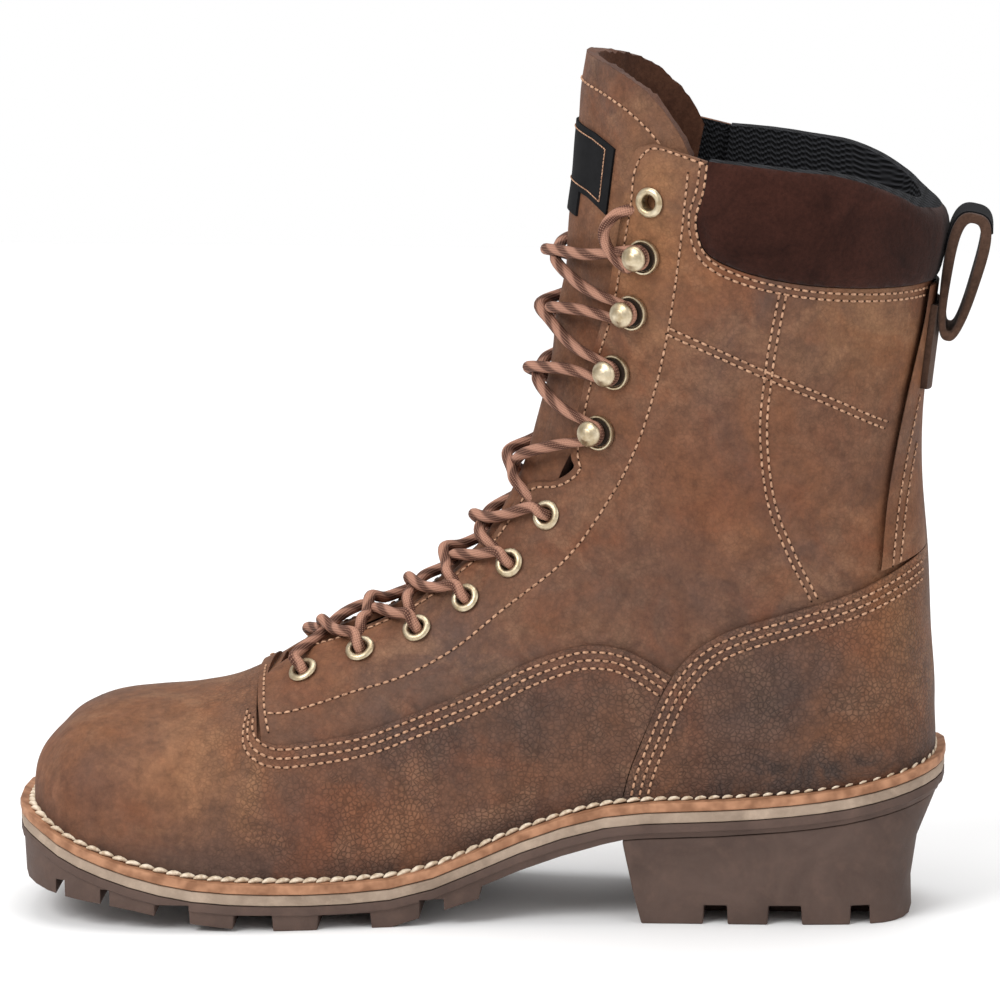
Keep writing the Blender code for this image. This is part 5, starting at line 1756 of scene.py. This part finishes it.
def make_seams(thread, dark):
    groups = {"wing": [], "counter": [], "facing": [], "collar": [], "quarter": [], "stay": []}

    def add(group, path, piece):
        for side in (-1, 1):
            groups[group] += stitch_row(path, side, piece, STITCH_PITCH)

    for k, turn in enumerate(WING_TURNS):
        edge = beside(rounded(WING_LINE, SEAM_STEPS), -(ROW_INSET + k * ROW_STEP))
        add("wing", np.concatenate([rounded(turn, SEAM_STEPS), edge]), "toe_and_wings")
    counter = rounded(COUNTER_LINE, SEAM_STEPS)
    for k in range(3):
        add("counter", beside(counter, -(ROW_INSET + k * ROW_STEP)), "heel_counter")
    for spots in (LACE_STAY, TAB_FRONT):
        add("facing", rounded(spots, SEAM_STEPS), "quarters")
    add("facing", beside(rounded(FACING_LINE + COLLAR_LINE[:1], SEAM_STEPS), -FACING_ROW), "quarters")
    collar = rounded(COLLAR_LINE, SEAM_STEPS)
    for k in range(2):
        add("collar", beside(collar, -(EDGE_ROW + k * PAIR_STEP)), "quarters")
    for spots in (SEAM_DOWN, SEAM_BACK):
        for k in (-0.5, 0.5):
            add("quarter", beside(rounded(spots, SEAM_STEPS), k * PAIR_STEP), "quarters")
    stay = rounded(BACKSTAY_LINE, SEAM_STEPS)
    for k in range(2):
        add("stay", beside(stay, ROW_INSET + k * PAIR_STEP), "heel_stay")
    for word, rows in groups.items():
        sew(word, rows, thread, dark)


# Pull loop


def loop_line(inset, turns):
    """Points of the pull loop's outline in its middle plane, moved in by inset."""
    foot_x, foot_z = place([LOOP_FOOT])[0]
    lean = math.radians(LOOP_LEAN)
    up = np.array([math.sin(lean), 0, math.cos(lean)])
    out = np.array([math.cos(lean), 0, -math.sin(lean)])
    high = LOOP_HEIGHT / 2 - inset
    v = high * np.copysign(np.abs(np.sin(turns)) ** LOOP_SQUARE, np.sin(turns))
    u = (LOOP_DEPTH / 2 - inset) * np.copysign(np.abs(np.cos(turns)) ** LOOP_SQUARE, np.cos(turns))
    u = u * (1 + LOOP_TAPER * v / high)
    centre = np.array([foot_x, 0, foot_z]) + out * LOOP_DEPTH / 2 + up * LOOP_HEIGHT / 2
    return centre + u[:, None] * out + v[:, None] * up


def make_pull_loop(paint, cloth):
    """Folded strap behind the collar, its tail on the backstay and a bare patch round its top."""
    turns = circle(LOOP_STEPS)
    half = LOOP_WIDTH / 2
    insets = (0, STRAP_EASE, LOOP_THICKNESS - STRAP_EASE, LOOP_THICKNESS)
    lines = [loop_line(inset, turns) for inset in insets]
    near = list(zip(lines, (half - STRAP_EASE, half, half, half - STRAP_EASE)))
    loops = [path - [0, y, 0] for path, y in near] + [path + [0, y, 0] for path, y in near[::-1]]
    faces = bands(len(loops), LOOP_STEPS, True)
    strap = turned(new_object("pull_strap", np.concatenate(loops), faces))
    finish(strap, paint, STRAP_ANGLE, "collar_leather", "pull_loop")
    t = np.linspace(TAIL_LOW, TAIL_HIGH, 20)[:, None]
    angle = -math.pi / 2 + np.linspace(-TAIL_HALF, TAIL_HALF, 25)[None, :]
    t, angle = np.broadcast_arrays(t, angle)
    under = OVERLAY_GAP + OVERLAY + TAIL_LIFT
    faces = [lifted(t, angle, np.full(t.shape, lift)) for lift in (under + TAIL_THICK, under)]
    finish(sheet_solid("pull_strap_tail", *faces)[0], paint, STRAP_ANGLE, "collar_leather")
    turns = np.radians(np.linspace(*LOOP_PATCH_TURN, 30))
    wide = np.linspace(-half * LOOP_PATCH_HALF, half * LOOP_PATCH_HALF, 5)
    across = wide[None, :, None] * np.array([0, 1.0, 0])
    sides = [loop_line(inset, turns)[:, None] + across for inset in LOOP_PATCH_INSETS]
    finish(sheet_solid("bare_patch", *sides)[0], cloth, STRAP_ANGLE, "collar_leather")


# Stage


def make_stage():
    corners = [(x * FLOOR, y * FLOOR, 0) for x, y in ((-1, -1), (1, -1), (1, 1), (-1, 1))]
    floor = new_object("floor", corners, [[0, 1, 2, 3]])
    paint = Paint("floor", 0.6)
    paint.give(paint.shader, Base_Color=(*FLOOR_WHITE, 1))
    floor.data.materials.append(paint.material)
    world = bpy.data.worlds.new("studio")
    world.use_nodes = True
    tree = world.node_tree
    back = tree.nodes["Background"]
    back.inputs["Color"].default_value = (1, 1, 1, 1)
    path = tree.nodes.new("ShaderNodeLightPath")
    mix = tree.nodes.new("ShaderNodeMix")
    mix.inputs[2].default_value = WORLD_LIGHT
    mix.inputs[3].default_value = WORLD_SEEN
    tree.links.new(path.outputs["Is Camera Ray"], mix.inputs[0])
    tree.links.new(mix.outputs[0], back.inputs["Strength"])
    bpy.context.scene.world = world
    for row in LIGHTS:
        lamp = bpy.data.lights.new(row.name, "AREA")
        lamp.energy = row.power
        lamp.size = row.size
        obj = bpy.data.objects.new(row.name, lamp)
        obj.location = (row.x, row.y, row.z)
        obj.rotation_euler = (Vector(LIGHT_AIM) - obj.location).to_track_quat("-Z", "Y").to_euler()
        bpy.context.scene.collection.objects.link(obj)
    bpy.context.scene.view_settings.view_transform = "Standard"


def make_camera():
    azimuth = math.radians(VIEW_AZIMUTH)
    elevation = math.radians(VIEW_ELEVATION)
    level = math.cos(elevation)
    back = Vector((math.sin(azimuth) * level, -math.cos(azimuth) * level, math.sin(elevation)))
    camera = bpy.data.cameras.new("camera")
    camera.lens = VIEW_LENS
    camera.clip_end = 20
    obj = bpy.data.objects.new("camera", camera)
    obj.location = Vector(VIEW_TARGET) + Vector(SHIFT) + back * VIEW_DISTANCE
    obj.rotation_euler = (-back).to_track_quat("-Z", "Y").to_euler()
    bpy.context.scene.collection.objects.link(obj)
    bpy.context.scene.camera = obj


def main():
    make_camera()
    make_stage()
    smooth_leather = leather_paint("leather_smooth", 0.3)
    grained = leather_paint("leather_grained", 1.0)
    raw = suede_paint("raw_split", SUEDE_DARK, SUEDE_LIGHT)
    nubuck = suede_paint("collar_nubuck", COLLAR_DARK, COLLAR_LIGHT)
    strap = suede_paint("strap_nubuck", STRAP_DARK, STRAP_LIGHT)
    knit = lining_paint()
    thread = thread_paint("tan_thread", THREAD_DARK, THREAD_LIGHT)
    rope = thread_paint("rope_thread", ROPE_DARK, ROPE_LIGHT, ROPE_TWIST)
    # Dark paint for the stitch holes: painted shade
    dark = plain_paint("pinhole_shade", HOLE_SHADE, 0.95)
    cloth = plain_paint("label_cloth", CLOTH_BLACK, 0.85)
    make_quarters(smooth_leather, knit)
    make_panels(smooth_leather, grained)
    make_collar(nubuck, knit)
    make_lining(knit)
    make_tongue(smooth_leather, raw, thread, dark)
    make_label(cloth, thread)
    # The second paint is the painted shade in the hooks' dishes
    make_hardware(brass_paint(), plain_paint("hook_shade_paint", HOLLOW_SHADE, 0.6))
    make_laces(lace_paint())
    make_seams(thread, dark)
    make_pull_loop(strap, cloth)
    make_welt_stitch(rope)
    edge = thread_paint("welt_leather", WELT_DARK, WELT_LIGHT, WELT_GRAIN)
    refined("welt_strip", "welt", WELT_EASE, edge, "welt")
    pale = rubber_paint("midsole", MIDSOLE_DARK, MIDSOLE_LIGHT)
    refined("midsole_layer", "midsole", MIDSOLE_EASE, pale, "midsole")
    rubber = rubber_paint("rubber", RUBBER_DARK, RUBBER_LIGHT)
    refined("tread_sole", "outsole", SOLE_EASE, rubber, "rubber")
    refined("heel_block", "heel", SOLE_EASE, rubber, "rubber")
    refined("insole_board", "insole", INSOLE_EASE, knit, "lining")


main()
